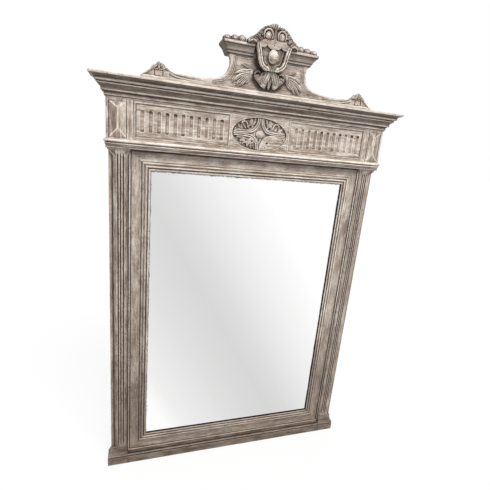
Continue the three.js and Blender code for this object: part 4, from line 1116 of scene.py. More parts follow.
# ------------------------------------------------------------------ oval rosette
def rosette(X, Z):
    Zc = Z - 1509.5
    q = np.hypot(X / 113.0, Zc / 61.0)
    g = (1 - q) * 75
    ax, az = np.abs(X), np.abs(Zc)
    low = -6.8
    h = np.full_like(X, low)                              # sunk ground

    def add(gh, where=None, cut=None):
        nonlocal h
        hh = gh[1]
        if where is not None:
            hh = np.where(where, hh, -1e3)
        h = np.maximum(h, hh)
    up = Zc > -0.5
    ll = (Zc <= 0.5) & (X < 0)
    lr = (Zc <= 0.5) & (X >= 0)
    # the two bands that bound each leaf, bowed towards the centre, and the arms along the axes
    for off, w, hh in ((0.0, 3.0, 5.8), (7.2, 3.0, 5.4)):
        C = [(106 - off * 0.4, 2.8 + off * 0.85), (78, 2.6 + off * 1.05), (56, 3.4 + off), (38 + off * 0.3, 5.4 + off * 0.95), (26 + off * 0.6, 10.2 + off * 0.85), (17 + off * 0.75, 19.5 + off * 0.6),
             (9.5 + off * 0.95, 31 + off * 0.3), (5.0 + off, 43), (3.4 + off, 58)]
        add(band(ax, az, C, [w * 0.9, w, w, w, w, w, w * 0.8], hh, "round", base=low + 1.4, n=48))
    # deep-cut leaf, above the centre on both sides
    add(band(ax, az, [(41, 31), (40, 41), (38, 51)], [6.0, 8.6, 5.0], [7.6, 8.6, 7.0], "leaf", base=low + 1.0), up)
    add(band(ax, az, [(31, 34), (25.5, 44), (23, 55)], [3.4, 3.8, 2.6], 7.0, "round", base=low + 1.0), up)
    add(band(ax, az, [(52, 24), (54.5, 34), (61, 42), (70, 43), (77, 37), (79.5, 28), (77, 18)], [3.0, 3.0, 3.2, 3.4, 3.2, 3.0, 2.6], 7.6, "round", base=low + 1.0, n=42), up)
    add(band(ax, az, [(62, 20), (67.5, 28), (70.5, 34)], [3.2, 3.0, 1.8], 5.0, "round", base=low + 0.6), up)
    add(band(ax, az, [(74, 13), (85, 20), (91, 26.5)], [2.6, 4.6, 3.0], 6.8, "vein", base=low + 1.0), up)
    add(band(ax, az, [(76, 9), (90, 12), (102, 14.5)], [2.4, 4.0, 2.8], 6.6, "vein", base=low + 1.0), up)
    add(dome(ax, az, 40, 25, 12, 9.5, 5.6, base=low + 1.4, p=0.4), up)
    # lower left: short fingers round the eye
    for tx, tz, w in ((20, 55, 3.4), (33, 52, 5.4), (50, 47.5, 6.2), (68, 40, 6.4), (84, 29.5, 6.0), (97, 16, 5.0)):
        ang = math.atan2(tz - 26, tx - 36)
        rx, rz = 36 + 8 * math.cos(ang), 26 + 7 * math.sin(ang)
        add(band(ax, az, [(rx, rz), ((rx + tx) / 2 + 2 * math.sin(ang), (rz + tz) / 2 - 2 * math.cos(ang)), (tx, tz)], [w * 0.6, w, w * 0.9, w * 0.5],
                 [6.6, 7.6, 7.2, 5.4], "leaf", base=low + 1.0), ll)
    add(dome(ax, az, 34, 27, 13, 11, 6.0, base=low + 1.6, p=0.4), ll)
    # lower right: worn almost smooth
    soft = low + 7.4 - 1.3 * np.clip(q, 0, 1) ** 2 + 0.5 * np.sin(np.arctan2(az - 26, ax - 34) * 7 + 1.0) * sstep(np.hypot(ax - 34, az - 26), 8, 20)
    inner = (ax / 14.0) * (az / 14.0) > 1.15
    h = np.where(lr & inner, np.maximum(h, soft), h)
    # eyes and drill holes
    holes = [(41.5, 24.5, 4.2, up & (X < 0)), (38, 23.5, 5.0, up & (X > 0)), (32, 28.5, 4.0, ll), (32, 31.5, 4.0, lr),
             (20, 49, 2.6, up), (34.5, 56, 3.2, up), (51, 50, 2.6, up), (64, 36.5, 2.2, up), (66, 49, 3.0, up), (83, 33, 3.6, up), (98.5, 20.5, 3.2, up),
             (57, 26, 3.2, ll), (61, 41, 3.6, ll), (85, 29, 3.4, ll), (41, 43, 2.4, ll), (27, 51, 2.4, ll), (72, 32, 2.2, ll), (98.5, 15.5, 3.4, ll), (98.5, 15, 2.6, lr), (75, 26, 2.0, lr),
             (24, 50, 2.4, lr)]
    for dx, dz, rr, where in holes:
        h = h - np.where(where, 4.5 * np.exp(-(np.hypot((ax - dx) / 1.15, az - dz) / rr) ** 4), 0)
    # centre: a button with a ring inside the hollow four-pointed star
    add(dome(X, Zc, 0, 0, 16.5, 13.0, 5.0, base=low + 2.2, p=0.4))
    r = np.hypot(X / 16.5, Zc / 13.0)
    h = h - 1.2 * np.exp(-((r - 0.55) / 0.10) ** 2)
    return g, np.clip(h, -8.7, 1.2)


def rosette_halo(X, Z):
    Zc = Z - 1509.5
    ax, az = np.abs(X), np.abs(Zc)
    up = Zc > 0
    ll = (Zc <= 0) & (X < 0)
    lr = (Zc <= 0) & (X >= 0)
    c = 0.0 * X
    # painted shade (with wax) in the eyes and drill holes and in the hollows between the star's points
    for dx, dz, rr, am, where in ((41.5, 24.5, 4.6, 1, up & (X < 0)), (38, 23.5, 5.2, 1, up & (X > 0)), (32, 28.5, 4.0, 1, ll), (32, 31.5, 4.2, 1, lr),
                                  (20, 49, 3.0, 0.9, up), (34.5, 56, 3.8, 1, up), (66, 49, 3.6, 1, up), (83, 33, 4.2, 1, up), (98.5, 19, 3.8, 1, up), (65, 31, 2.6, 0.9, up),
                                  (57, 26, 3.6, 0.9, ll), (61, 41, 4.0, 0.95, ll), (85, 29, 3.8, 0.95, ll), (41, 43, 2.6, 0.8, ll), (98.5, 15.5, 3.8, 1, ll), (98.5, 15, 2.8, 0.7, lr)):
        c = np.maximum(c, np.where(where, am * np.exp(-(np.hypot((ax - dx) / 1.25, az - dz) / rr) ** 4), 0))
    for sx, sz, rx, rz, am in ((-29, 1, 6.5, 3.6, 0.9), (28, 1, 6.5, 3.4, 0.9), (0, 20, 3.6, 6.0, 0.95), (-2, -21, 3.6, 6.5, 0.95), (-5, -37, 2.6, 9.0, 0.7)):
        c = np.maximum(c, am * np.exp(-(np.hypot((X - sx) / rx, (Zc - sz) / rz)) ** 2))
    return c


relief("frieze_rosette", (-115, 115, 1446, 1573), 0.72, rosette, -11.8, -3.3, "frieze_rosette", seed=141, drop=-2.5, halo=rosette_halo,
       tone=1.12, s1=1.2, s2=3.6, k1=0.95, k2=2.4, ha=1.0, ca=0.9, wob=0.1)


# ------------------------------------------------------------------ crest board
HALF = [(361.7, 1660.3), (361.7, 1684), (352, 1679.5), (342, 1677), (325, 1677), (290, 1675.5), (250, 1677), (223, 1679.5), (205, 1682),
        (188, 1687), (176, 1692.5), (168, 1697.5), (157, 1712), (151, 1727), (148.5, 1739), (149, 1750), (152, 1760), (157, 1768.5)]
CREST = HALF + [(-x, z) for x, z in HALF[::-1]]
NECK = [(190, 1686), (176, 1692.5), (168, 1697.5), (157, 1712), (151, 1727), (148.5, 1739), (149, 1750), (152, 1760), (157, 1768.5)]


def crest_board(X, Z):
    g = sd_poly(X, Z, CREST)
    ax = np.abs(X)
    h = np.zeros_like(X)
    # rounded top edge of the wings and of the neck
    e = np.clip(g, 0, 99)
    h = h - np.where((Z > 1663) & (Z < 1767), 2.6 * (1 - np.sqrt(np.clip(1 - (1 - np.clip(e / 3.0, 0, 1)) ** 2, 0, 1))), 0)
    # swooping bead along the foot of each wing
    C = [(374, 1682), (360, 1675.0), (346, 1669.5), (328, 1665.6), (306, 1663.4), (280, 1662.0), (237, 1661.8)]
    d, s, u = along(ax, Z, spline(C, 30))
    h = h + 2.2 * np.exp(-(d / 2.3) ** 2) * (ax > 232)
    h = h - 1.2 * np.exp(-((d - 4.6) / 1.1) ** 2) * (ax > 232)
    # incised double line round each side of the pedestal
    C = [(74, 1765.5), (131, 1765.5), (131.5, 1754), (134, 1729), (140, 1708), (150, 1693), (169, 1676), (205, 1668)]
    d, s, u = along(ax, Z, C)
    h = h - 1.5 * np.exp(-(d / 1.0) ** 2) - 1.0 * np.exp(-((d - 4.4) / 0.9) ** 2)
    # the neck's own raised margin
    d2, s2, u2 = along(ax, Z, NECK)
    h = h + 0.8 * np.exp(-((d2 - 7) / 3.5) ** 2) * sstep(Z, 1684, 1700)
    return g, h


def crest_halo(X, Z):
    ax = np.abs(X)
    # painted shade (with wax) along the incised lines and under the wings' bead, round the cartouche and the leaf
    # sprays, and along the board's top and bottom edges
    c = 0.0 * X
    C = [(74, 1765.5), (131, 1765.5), (131.5, 1754), (134, 1729), (140, 1708), (150, 1693), (169, 1676), (205, 1668)]
    d, s, u = along(ax, Z, C)
    c = np.maximum(c, 0.85 * np.exp(-(d / 1.9) ** 2))
    c = np.maximum(c, 0.55 * np.exp(-((d - 5.6) / 1.5) ** 2))
    d, s, u = along(ax, Z, spline([(374, 1682), (360, 1675.0), (346, 1669.5), (328, 1665.6), (306, 1663.4), (280, 1662.0)], 30))
    c = np.maximum(c, 0.85 * np.exp(-((d - 4.6) / 1.8) ** 2) * sstep(ax, 285, 320))
    cart = sd_poly(ax, Z, [(-5, 1664), (30, 1664), (50, 1680), (68, 1700), (62, 1716), (46, 1730), (58, 1750), (64, 1780), (68, 1810), (-5, 1810)])
    c = np.maximum(c, 0.92 * np.exp(-np.clip(-cart, 0, 99) / 6.5))
    leaf = sd_poly(ax, Z, [(70, 1726), (96, 1722), (128, 1712), (142, 1684), (128, 1668), (106, 1668), (80, 1686), (68, 1706)])
    c = np.maximum(c, 0.7 * np.exp(-np.clip(-leaf, 0, 99) / 2.6) * (leaf < 0))
    c = np.maximum(c, 0.75 * np.exp(-np.clip(Z - 1660, 0, 99) / 2.0))
    c = np.maximum(c, 0.75 * np.exp(-np.clip(1769 - Z, 0, 99) / 2.6))
    return c


def crest_shine(X, Z):
    ax = np.abs(X)
    C = [(74, 1765.5), (131, 1765.5), (131.5, 1754), (134, 1729), (140, 1708), (150, 1693), (169, 1676), (205, 1668)]
    d, s, u = along(ax, Z, C)
    h = 0.85 * np.exp(-((d - 3.0) / 1.5) ** 2)
    e = sd_poly(X, Z, CREST)
    h = np.maximum(h, 0.6 * np.exp(-((e - 2.0) / 2.0) ** 2) * (Z > 1664) * (Z < 1766))
    d, s, u = along(ax, Z, spline([(374, 1682), (360, 1675.0), (346, 1669.5), (328, 1665.6), (306, 1663.4), (280, 1662.0)], 30))
    return np.maximum(h, 0.95 * np.exp(-(d / 2.4) ** 2) * sstep(ax, 270, 300))


relief("crest_board", (-364, 364, 1658, 1771), 1.1, crest_board, -47, -27, "crest_board", seed=151, drop=2.0, halo=crest_halo, tone=TONE["crest"], k1=0.6, k2=2.4,
       shine=crest_shine)
plank("crest_board_core", -140, 140, -28, -4.2, 1660.3, 1768.3, (), grain=0, r=1.5, seed=152, mat=PINE)
plank("crest_board_top", -66.5, 66.5, -46.8, -4.2, 1766, 1809, (), grain=0, r=1.2, seed=153, tone=0.8, cav=0.35)


# ------------------------------------------------------------------ leaf sprays beside the cartouche
def spray(name, rep, mirror, seed):
    def fn(X, Z):
        G = np.full_like(X, -9.0)
        H = np.full_like(X, -0.2)
        parts = [
            ([(72, 1729), (84, 1737), (97, 1741.5), (109, 1741)], [1.6, 5.4, 6.8, 4.4, 0.6], [4, 8, 8.5, 5], "leaf"),
            ([(68, 1724), (90, 1721), (112, 1716), (131, 1708)], [4.5, 6.5, 7.0, 5.0, 0.8], [8, 8.6, 7.4, 4.5], "vein"),
            ([(70, 1716), (94, 1710), (117, 1698), (137, 1679)], [4.0, 7.0, 8.0, 6.4, 1.2], [8.6, 9.4, 8.8, 5.5], "vein"),
            ([(72, 1711), (92, 1701), (110, 1687), (125, 1668.5)], [3.6, 6.2, 7.4, 6.0, 1.0], [8.4, 9.2, 8.4, 5.0], "vein"),
            ([(72, 1706), (86, 1695), (99, 1682), (108, 1669)], [3.0, 5.6, 6.4, 5.4, 1.0], [7.6, 8.4, 7.4, 4.6], "vein"),
            ([(70, 1703), (79, 1693), (88, 1681)], [2.6, 4.8, 5.2, 1.2], [6.4, 7.2, 4.0], "vein"),
        ]
        for i, (C, w, h, sh) in enumerate(parts):
            gg, hh = band(X, Z, C, w, h, sh, base=1.0 + 0.12 * i, n=26)
            G = np.maximum(G, gg)
            H = np.maximum(H, hh)
        # small turned-over root
        gg, hh = dome(X, Z, 71, 1717, 7.5, 9.5, 9.2, base=0.4, p=0.5, rot=0.5)
        G, H = np.maximum(G, gg), np.maximum(H, hh)
        H = H - 2.0 * np.exp(-(np.hypot(X - 78, Z - 1722.5) / 2.2) ** 4) - 2.4 * np.exp(-(np.hypot(X - 118, Z - 1705.5) / 2.0) ** 4)
        return G, np.minimum(H, 10.2)
    return relief(name, (58, 146, 1661, 1752), 0.75, fn, -47.3, -46.6, rep, mirror=mirror, seed=seed, drop=0.4, tone=1.10, wall=0.9, s1=1.3, s2=3.4,
                  k1=0.7, k2=2.0, ca=1.6, ha=0.8, wob=0.1)


both(spray, "leaf_spray", "leaf_spray", seed=161)


# ------------------------------------------------------------------ cartouche
RIM = [(67.5, 1812), (65.5, 1801), (61.5, 1788), (57.8, 1774), (54.8, 1760), (51.0, 1748.5), (44.8, 1739.0), (36.0, 1731.6), (25.5, 1727.0)]


def shield(X, Z):
    ax = np.abs(X)
    out = [(66.3, 1811.8)] + RIM[1:] + [(0, 1726.6)]
    g = sd_poly(X, Z, out + [(-x, z) for x, z in out[-2::-1]])
    C = spline(RIM, 48)
    d, s, u = along(ax, Z, C)
    d = np.where(g > 0, d, 0)
    field = 2.2 + 2.2 * np.exp(-(ax / 24.0) ** 2)
    rim = 15.6 + 3.2 * np.exp(-((d - 3.9) / 2.7) ** 2) + 2.4 * np.exp(-((d - 11.4) / 2.4) ** 2) - 2.6 * np.exp(-((d - 7.6) / 1.1) ** 2)
    rim = rim - 9.0 * np.clip(1 - d / 2.4, 0, 1) ** 2 - 5.0 * sstep(u, 0.86, 1.0)
    t = sstep(d, 14.2, 17.6)
    h = rim * (1 - t) + field * t
    # narrow inner band
    h = h + 6.4 * np.exp(-((d - 23.0) / 2.8) ** 2) * sstep(Z, 1741, 1752) * (d > 15)
    # the foot of the field swells into two lobes above the hanging leaf
    gg, hh = dome(ax, Z, 16.5, 1736.5, 12.0, 9.5, 9.5, base=8.5, p=0.5, rot=-0.25)
    h = np.maximum(h, hh)
    neck = 16.0 - 5.5 * np.exp(-(ax / 4.5) ** 2) - 0.55 * np.clip(Z - 1731, 0, 99)
    h = np.where((ax < 27) & (Z < 1744), np.maximum(h, np.minimum(neck, 17) * sstep(27 - ax, 0, 5) * sstep(1747 - Z, 0, 5)), h)
    return g, np.clip(h, 0, 19.2)


def shield_halo(X, Z):
    ax = np.abs(X)
    g = sd_poly(X, Z, [(66.3, 1811.8)] + RIM[1:] + [(0, 1726.6)] + [(-x, z) for x, z in ([(66.3, 1811.8)] + RIM[1:])[::-1]])
    d, s, u = along(ax, Z, spline(RIM, 48))
    d = np.where(g > 0, d, 0)
    # painted shade (with wax) in the rim's grooves, over the field, between the lobes at the foot, round the lower edge
    # of the boss and under the crown's lip
    c = 0.72 * np.exp(-((d - 7.6) / 1.3) ** 2)
    c = np.maximum(c, 0.9 * np.exp(-((d - 17.6) / 2.2) ** 2))
    c = np.maximum(c, 0.55 * np.exp(-((d - 29) / 3.0) ** 2) * (Z > 1745))
    c = np.maximum(c, 0.38 * (d > 18))
    c = np.maximum(c, 0.95 * np.exp(-(np.hypot(X / 4.6, (Z - 1739) / 6.5)) ** 2))
    r = np.hypot(X / 21.5, (Z - 1774) / 26.5)
    c = np.maximum(c, 0.85 * np.exp(-((r - 1.0) / 0.10) ** 2) * sstep(1786 - Z, 0, 18))
    c = np.maximum(c, 0.8 * np.exp(-np.clip(1806 - Z, 0, 99) / 5.0) * (d > 14))
    return c


def shield_shine(X, Z):
    ax = np.abs(X)
    g = sd_poly(X, Z, [(66.3, 1811.8)] + RIM[1:] + [(0, 1726.6)] + [(-x, z) for x, z in ([(66.3, 1811.8)] + RIM[1:])[::-1]])
    d, s, u = along(ax, Z, spline(RIM, 48))
    d = np.where(g > 0, d, 0)
    return np.maximum.reduce([0.85 * np.exp(-((d - 3.9) / 2.2) ** 2), 0.95 * np.exp(-((d - 11.6) / 2.2) ** 2), 0.55 * np.exp(-((d - 23.0) / 2.2) ** 2) * (Z > 1750)])


relief("cartouche_shield", (-72, 72, 1724, 1815), 0.72, shield, -65.0, -50.3, "cartouche_shield", seed=171, drop=6, tone=1.14, wall=1.0, s1=1.3, s2=3.6,
       k1=1.0, k2=3.4, wob=0.14, ca=0.5, halo=shield_halo, shine=shield_shine)


def boss(X, Z):
    g, h = dome(X, Z, 0, 1775, 19.0, 23.5, 12.6, base=0, p=0.26)
    # a plain carved oval: a low turned edge and two shallow folds
    r = np.hypot(X / 19.0, (Z - 1775) / 23.5)
    h = h - 0.8 * np.exp(-((r - 0.80) / 0.05) ** 2)
    h = h - 0.6 * np.exp(-((Z - 1771 - 0.18 * X - 0.010 * X * X) / 1.3) ** 2) * (r < 0.66)
    h = h - 0.5 * np.exp(-((Z - 1781 - 0.10 * X + 0.012 * X * X) / 1.2) ** 2) * (r < 0.6)
    return g, np.clip(h, 0, 16)


def boss_shine(X, Z):
    return 0.75 * np.exp(-(np.hypot(X / 16.0, (Z - 1782) / 15.0)) ** 4)


relief("cartouche_boss", (-21, 21, 1749, 1801), 0.6, boss, -72.5, -60, "cartouche_boss", seed=175, drop=-1, tone=1.16, wall=1.0, s1=1.0, s2=3.0, k1=0.7, k2=2.5, wob=0.18,
       shine=boss_shine)

CROWN = [(66.5, 1812.4), (69, 1810.2), (80, 1809.9), (94, 1810.2), (98, 1814.5), (97.5, 1822), (89, 1828.5), (82, 1831.5), (76, 1835), (69.5, 1840), (65, 1845), (60, 1850),
         (55.5, 1856), (49, 1861), (43, 1866.5), (35.5, 1869.5), (28.5, 1873.3), (21, 1875.5), (15, 1879.5), (9, 1880.5), (4, 1882), (0, 1882)]


LIP = [(0, 1798.0), (10, 1798.8), (18, 1801.4), (23.5, 1805.2), (27, 1809.5), (30.5, 1805.0), (35, 1801.4), (42, 1800.4), (50, 1801.0), (54.5, 1803.6), (57, 1808.5),
       (57.5, 1812.0), (53, 1816.5), (46.5, 1822), (40, 1828.2), (0, 1828.2)]
LIP2 = LIP + [(-x, z) for x, z in LIP[1:-1][::-1]]
FOOT = LIP[:12]
VOLUTE = [(15.0, 1829.5), (11.2, 1837), (10.8, 1846), (14.0, 1854.4), (21.5, 1859.8), (30.6, 1859.6), (37.8, 1855.0), (41.6, 1847.6), (41.8, 1839.6), (39.2, 1833)]


def crown(X, Z):
    ax = np.abs(X)
    poly = [(x, z) for x, z in CROWN] + [(-x, z) for x, z in CROWN[-2::-1]]
    poly = poly + [(-64, 1799), (-40, 1795), (0, 1794), (40, 1795), (64, 1799)]
    g = sd_poly(X, Z, poly)
    gl = sd_poly(X, Z, LIP2)
    g = np.where((ax < 66.4) & (Z < 1812), np.minimum(g, gl), g)
    h = np.full_like(X, 7.5)                                     # sunk ground
    # outer leaves that slope down to the caps, overlapping like scales
    leaves = [([(66, 1822), (76, 1827), (87, 1823.5), (95, 1816)], [5, 7.6, 6.6, 2.6], 7.0),
              ([(55, 1829), (63, 1837), (73, 1836), (81, 1829.5)], [5, 8.0, 7.2, 2.4], 8.2),
              ([(49, 1841), (56, 1850), (64, 1848), (69, 1840.5)], [4.4, 7.2, 6.2, 2.2], 9.0),
              ([(44, 1855), (49, 1860), (55, 1857)], [3.4, 5.2, 2.6], 8.6),
              ([(36, 1866), (42, 1867), (47, 1863)], [3.0, 4.0, 2.2], 8.0)]
    for C, w, hh_ in leaves:
        gg, hh = band(ax, Z, C, w, hh_, "leaf", base=6.0, n=24)
        h = np.maximum(h, hh)
    # lip: a flat valance with a scalloped foot
    d, s, u = along(ax, Z, FOOT)
    k = np.clip(d / 3.4, 0, 1)
    body = 11.6 + 3.0 * np.sqrt(np.clip(1 - (1 - k) ** 2, 0, 1)) - 1.2 * sstep(Z, 1818, 1828) * sstep(ax, 6, 14) - 2.6 * sstep(ax, 42, 60)
    body = body - 1.8 * np.exp(-((ax - 27) / 2.4) ** 2) * np.exp(-np.clip(Z - 1809, 0, 99) / 6.0)
    h = np.where(gl > 0, np.maximum(h, body), h)
    h = h - 3.4 * np.exp(-(np.hypot(X + 1, Z - 1811) / 1.9) ** 4)
    # volutes: rolled band, dark hollow, inner knob
    gg, hh = band(ax, Z, VOLUTE, [3.0, 3.4, 3.7, 3.9, 4.0, 3.9, 3.6, 3.3, 3.0, 2.6], [13.4, 14.2, 15, 15.6, 16, 15.6, 14.8, 13.6, 12.4, 11], "round", base=2.5, n=64)
    h = np.maximum(h, hh)
    h = h - 4.2 * np.exp(-(np.hypot((ax - 25.6) / 12.4, (Z - 1841.6) / 14.2) - 1.0) ** 2 / 0.012) * (Z > 1829.5)
    gg, hh = dome(ax, Z, 25.6, 1841.2, 11.0, 13.2, 11.6, base=5.2, p=0.26, rot=0.10)
    h = np.maximum(h, hh)
    gg, hh = band(ax, Z, [(19.5, 1830), (25, 1829.5), (31, 1831.5)], [2.4, 3.0, 2.4], 11.5, "round", base=4.0, n=18)
    h = np.maximum(h, hh)
    d, s, u = along(ax, Z, spline([(20.5, 1836), (19.8, 1843), (23.0, 1849), (29.0, 1848.5)], 18))
    h = h - 1.5 * np.exp(-(d / 1.2) ** 2)
    # stem and palmette
    gg, hh = band(ax, Z, [(0, 1822), (0, 1832), (0, 1846), (0, 1868)], [11, 8.0, 4.8, 4.6, 6.0], [11.6, 11.8, 12.4, 12.6, 12.6], "round", base=3.0, n=16)
    h = np.maximum(h, hh)
    h = h - 2.2 * np.exp(-((ax - 2.7) / 0.9) ** 2) * sstep(Z, 1828, 1834) * sstep(1871 - Z, 0, 6)
    for C, w in (([(15, 1866), (25, 1869.5), (34, 1870.5)], [2.6, 4.0, 3.8, 2.0]), ([(8, 1864), (15.5, 1870), (22.0, 1875)], [3.0, 4.6, 4.4, 2.2]),
                 ([(4, 1862), (8.5, 1871), (11.6, 1878.5)], [3.0, 4.8, 4.6, 2.4]), ([(0, 1862), (0, 1873), (0, 1881)], [3.4, 5.2, 4.8, 2.2])):
        gg, hh = band(ax, Z, C, w, [10, 13.5, 13, 9], "round", base=3.6, n=18)
        h = np.maximum(h, hh)
    # hook where the lip meets the cap
    gg, hh = band(ax, Z, [(69, 1815), (77, 1818.5), (86, 1816.5), (93, 1812)], [3.0, 4.2, 3.8, 2.0], [12, 13, 11.5, 8], "round", base=3.0, n=24)
    h = np.maximum(h, hh)
    e = np.clip(g, 0, 99)
    h = h - 2.4 * np.clip(1 - e / 2.0, 0, 1) ** 2 * (Z > 1812)
    return g, np.clip(h, 0, 18.6)


def crown_halo(X, Z):
    ax = np.abs(X)
    # painted shade (with wax) in the volutes' hollows, along the stem's slit and the palmette's cuts, between the
    # overlapping leaves, under the volutes and the hook, down the lip's outer edge and round the crown's edge; the lip
    # is darkened a little overall
    r = np.hypot((ax - 25.6) / 12.4, (Z - 1841.4) / 14.2)
    c = 1.0 * np.exp(-((r - 1.0) / 0.11) ** 2) * sstep(Z, 1829, 1833)
    d, s, u = along(ax, Z, [(8.6, 1829), (5.6, 1843), (5.8, 1862)])
    c = np.maximum(c, 0.85 * np.exp(-(d / 1.3) ** 2))
    d, s, u = along(ax, Z, spline([(20.5, 1836), (19.8, 1843), (23.0, 1849), (29.0, 1848.5)], 18))
    c = np.maximum(c, 0.5 * np.exp(-(d / 1.3) ** 2))
    gl = sd_poly(X, Z, LIP2)
    c = np.maximum(c, np.where(gl > 0, 0.13 + 0.16 * noise(X / 9.0, Z / 7.0, 5, 77), 0))
    d, s, u = along(ax, Z, [(13, 1828.8), (30, 1828.4), (44, 1829)])
    c = np.maximum(c, 0.85 * np.exp(-(d / 1.6) ** 2))
    d, s, u = along(ax, Z, [(46, 1829), (58, 1820), (67, 1812)])
    c = np.maximum(c, 0.5 * np.exp(-(d / 2.2) ** 2))
    c = np.maximum(c, 0.26 * sstep(ax, 44, 54) * sstep(Z, 1816, 1824))
    c = np.maximum(c, 0.75 * np.exp(-np.clip(sd_poly(ax, Z, CROWN + [(0, 1812)]), 0, 99) / 1.6) * (Z > 1818))
    for C in ([(2.6, 1861), (4.6, 1871), (6.2, 1880)], [(6.6, 1863), (11.8, 1870), (17.0, 1877)], [(12, 1865), (20, 1869), (28, 1873)]):
        d, s, u = along(ax, Z, C)
        c = np.maximum(c, 0.85 * np.exp(-(d / 1.2) ** 2))
    for C in ([(57, 1822), (68, 1824), (80, 1823), (88, 1819)], [(50, 1833), (60, 1828), (72, 1830), (78, 1828)], [(46, 1846), (54, 1840), (63, 1842), (67, 1839)], [(42, 1860), (48, 1853), (55, 1853)]):
        d, s, u = along(ax, Z, spline(C, 18))
        c = np.maximum(c, 0.6 * np.exp(-(d / 1.4) ** 2))
    d, s, u = along(ax, Z, [(70, 1811.2), (84, 1812.4), (92, 1809)])
    c = np.maximum(c, 0.95 * np.exp(-(d / 1.9) ** 2))
    return np.maximum(c, np.exp(-(np.hypot(X + 1, Z - 1811) / 2.0) ** 4))


def crown_shine(X, Z):
    ax = np.abs(X)
    d, s, u = along(ax, Z, spline(VOLUTE[:8], 48))
    h = 1.0 * np.exp(-(d / 3.4) ** 2)
    h = np.maximum(h, 0.95 * np.exp(-(np.hypot((ax - 25.5) / 9.4, (Z - 1841.0) / 11.4)) ** 4))
    gl = sd_poly(X, Z, LIP2)
    h = np.maximum(h, np.where(gl > 1, 0.12, 0) * (ax < 52))
    h = np.maximum(h, 0.5 * np.exp(-(np.hypot(ax / 30.0, (Z - 1872) / 7.0)) ** 4))
    d, s, u = along(ax, Z, [(71, 1815.5), (78, 1818.5), (86, 1816.5)])
    return np.maximum(h, 0.8 * np.exp(-(d / 2.8) ** 2))


relief("cartouche_crown", (-99, 99, 1793, 1884), 0.72, crown, -65.5, -52, "cartouche_crown", seed=181, drop=6, tone=1.10, wall=1.0, s1=1.3, s2=3.8,
       k1=1.0, k2=3.0, wob=0.14, ca=1.1, ha=1.15, halo=crown_halo, shine=crown_shine)


def acanthus(X, Z):
    ax = np.abs(X)
    body = [(0, 1726.7), (22, 1726.5), (31, 1722), (38, 1717.5), (48, 1714.5), (57, 1710.5), (60.5, 1705), (57, 1699), (48, 1691), (38, 1682.5), (29.5, 1674.5), (24, 1670.5),
            (17, 1670.5), (12.5, 1676), (9.5, 1684), (0, 1690)]
    gb = sd_poly(ax, Z, body)
    gb = np.where(ax < 9, np.where(Z > 1690, np.minimum(1726.7 - Z, Z - 1690 + 0.0), -5), gb)
    k = np.clip(gb / 9.0, 0, 1)
    H = np.where(gb > 0, 5.0 + 8.0 * np.sqrt(np.clip(1 - (1 - k) ** 2, 0, 1)) + 2.0 * sstep(45 - ax, 0, 25), 0.0)
    G = gb.copy()
    # shallow creases part the side of the leaf
    for C in ([(24, 1716), (40, 1707), (57, 1699)],):
        d, s, u = along(ax, Z, C)
        H = H - np.where(gb > 0, 2.6 * np.exp(-(d / 1.9) ** 2), 0)
    for C in ([(24, 1711), (40, 1698), (50, 1693)],):
        d, s, u = along(ax, Z, C)
        H = H + np.where(gb > 0, 1.2 * np.exp(-(d / 3.4) ** 2), 0)

    def add(gh):
        nonlocal G, H
        G, H = np.maximum(G, gh[0]), np.maximum(H, gh[1])
    # curl above the outer lobe
    add(band(ax, Z, [(38, 1722), (46, 1725), (54, 1721), (57, 1714), (53, 1708.5)], [2.6, 3.6, 3.8, 3.4, 2.6], [8, 10.5, 11, 10.5, 8], "round", base=1.5, n=34))
    # middle leaf behind the slit
    add(band(ax, Z, [(0, 1712), (0, 1692), (0, 1669.5)], [5, 7.2, 6.4, 1.8], [10, 12, 11.5, 8], "vein", base=2.0, n=20))
    # the two front leaves
    add(band(ax, Z, [(7.5, 1730), (11.5, 1715), (18.5, 1698), (26.0, 1677)], [12, 12.5, 12, 9.4, 3.6], [19.5, 22, 22, 19, 13], "leaf", base=2.0, n=34))
    H = H - 11 * np.exp(-(np.hypot(ax / 1.6, np.clip(np.abs(Z - 1707) - 9, 0, 99) / 3.0)) ** 2)
    for dx, dz, rr, dp in ((39.0, 1714.5, 3.2, 8), (10.0, 1677, 2.6, 8)):
        H = H - dp * np.exp(-(np.hypot(ax - dx, Z - dz) / rr) ** 4)
    return G, np.clip(H, 0.2, 25.2)


def acanthus_halo(X, Z):
    ax = np.abs(X)
    # painted shade (with wax) in the slit and the eyes, along the folds beside the front leaves and under the curl; the
    # outer lobes are darker
    c = np.exp(-(np.hypot(ax / 1.9, np.clip(np.abs(Z - 1707) - 9, 0, 99) / 4.0)) ** 2)
    for dx, dz, rr in ((39.0, 1714.5, 4.4), (10.0, 1677.5, 3.6)):
        c = np.maximum(c, np.exp(-(np.hypot(ax - dx, Z - dz) / rr) ** 4))
    d, s, u = along(ax, Z, [(25, 1723), (30, 1711), (34, 1697), (35.5, 1684)])
    c = np.maximum(c, 0.7 * np.exp(-(d / 2.0) ** 2))
    c = np.maximum(c, 0.30 * sstep(ax, 33, 42))
    d, s, u = along(ax, Z, [(28, 1727), (36, 1720), (44, 1718)])
    c = np.maximum(c, 0.9 * np.exp(-(d / 3.0) ** 2))
    d, s, u = along(ax, Z, [(7.0, 1696), (9.6, 1688), (10, 1677)])
    return np.maximum(c, 0.9 * np.exp(-(d / 1.9) ** 2))


def acanthus_shine(X, Z):
    ax = np.abs(X)
    d, s, u = along(ax, Z, spline([(6, 1724), (11, 1711), (18.5, 1695), (25, 1681)], 20))
    h = 0.9 * np.exp(-(d / 6.5) ** 4)
    return np.maximum(h, 0.35 * np.exp(-(np.hypot((ax - 47) / 9, (Z - 1700) / 5)) ** 4))


relief("cartouche_acanthus", (-72, 72, 1663, 1735), 0.72, acanthus, -50.6, -50.0, "cartouche_acanthus", seed=185, drop=2, tone=1.08, wall=0.95, s1=1.3, s2=4.0,
       k1=1.6, k2=4.2, wob=0.14, halo=acanthus_halo, shine=acanthus_shine)


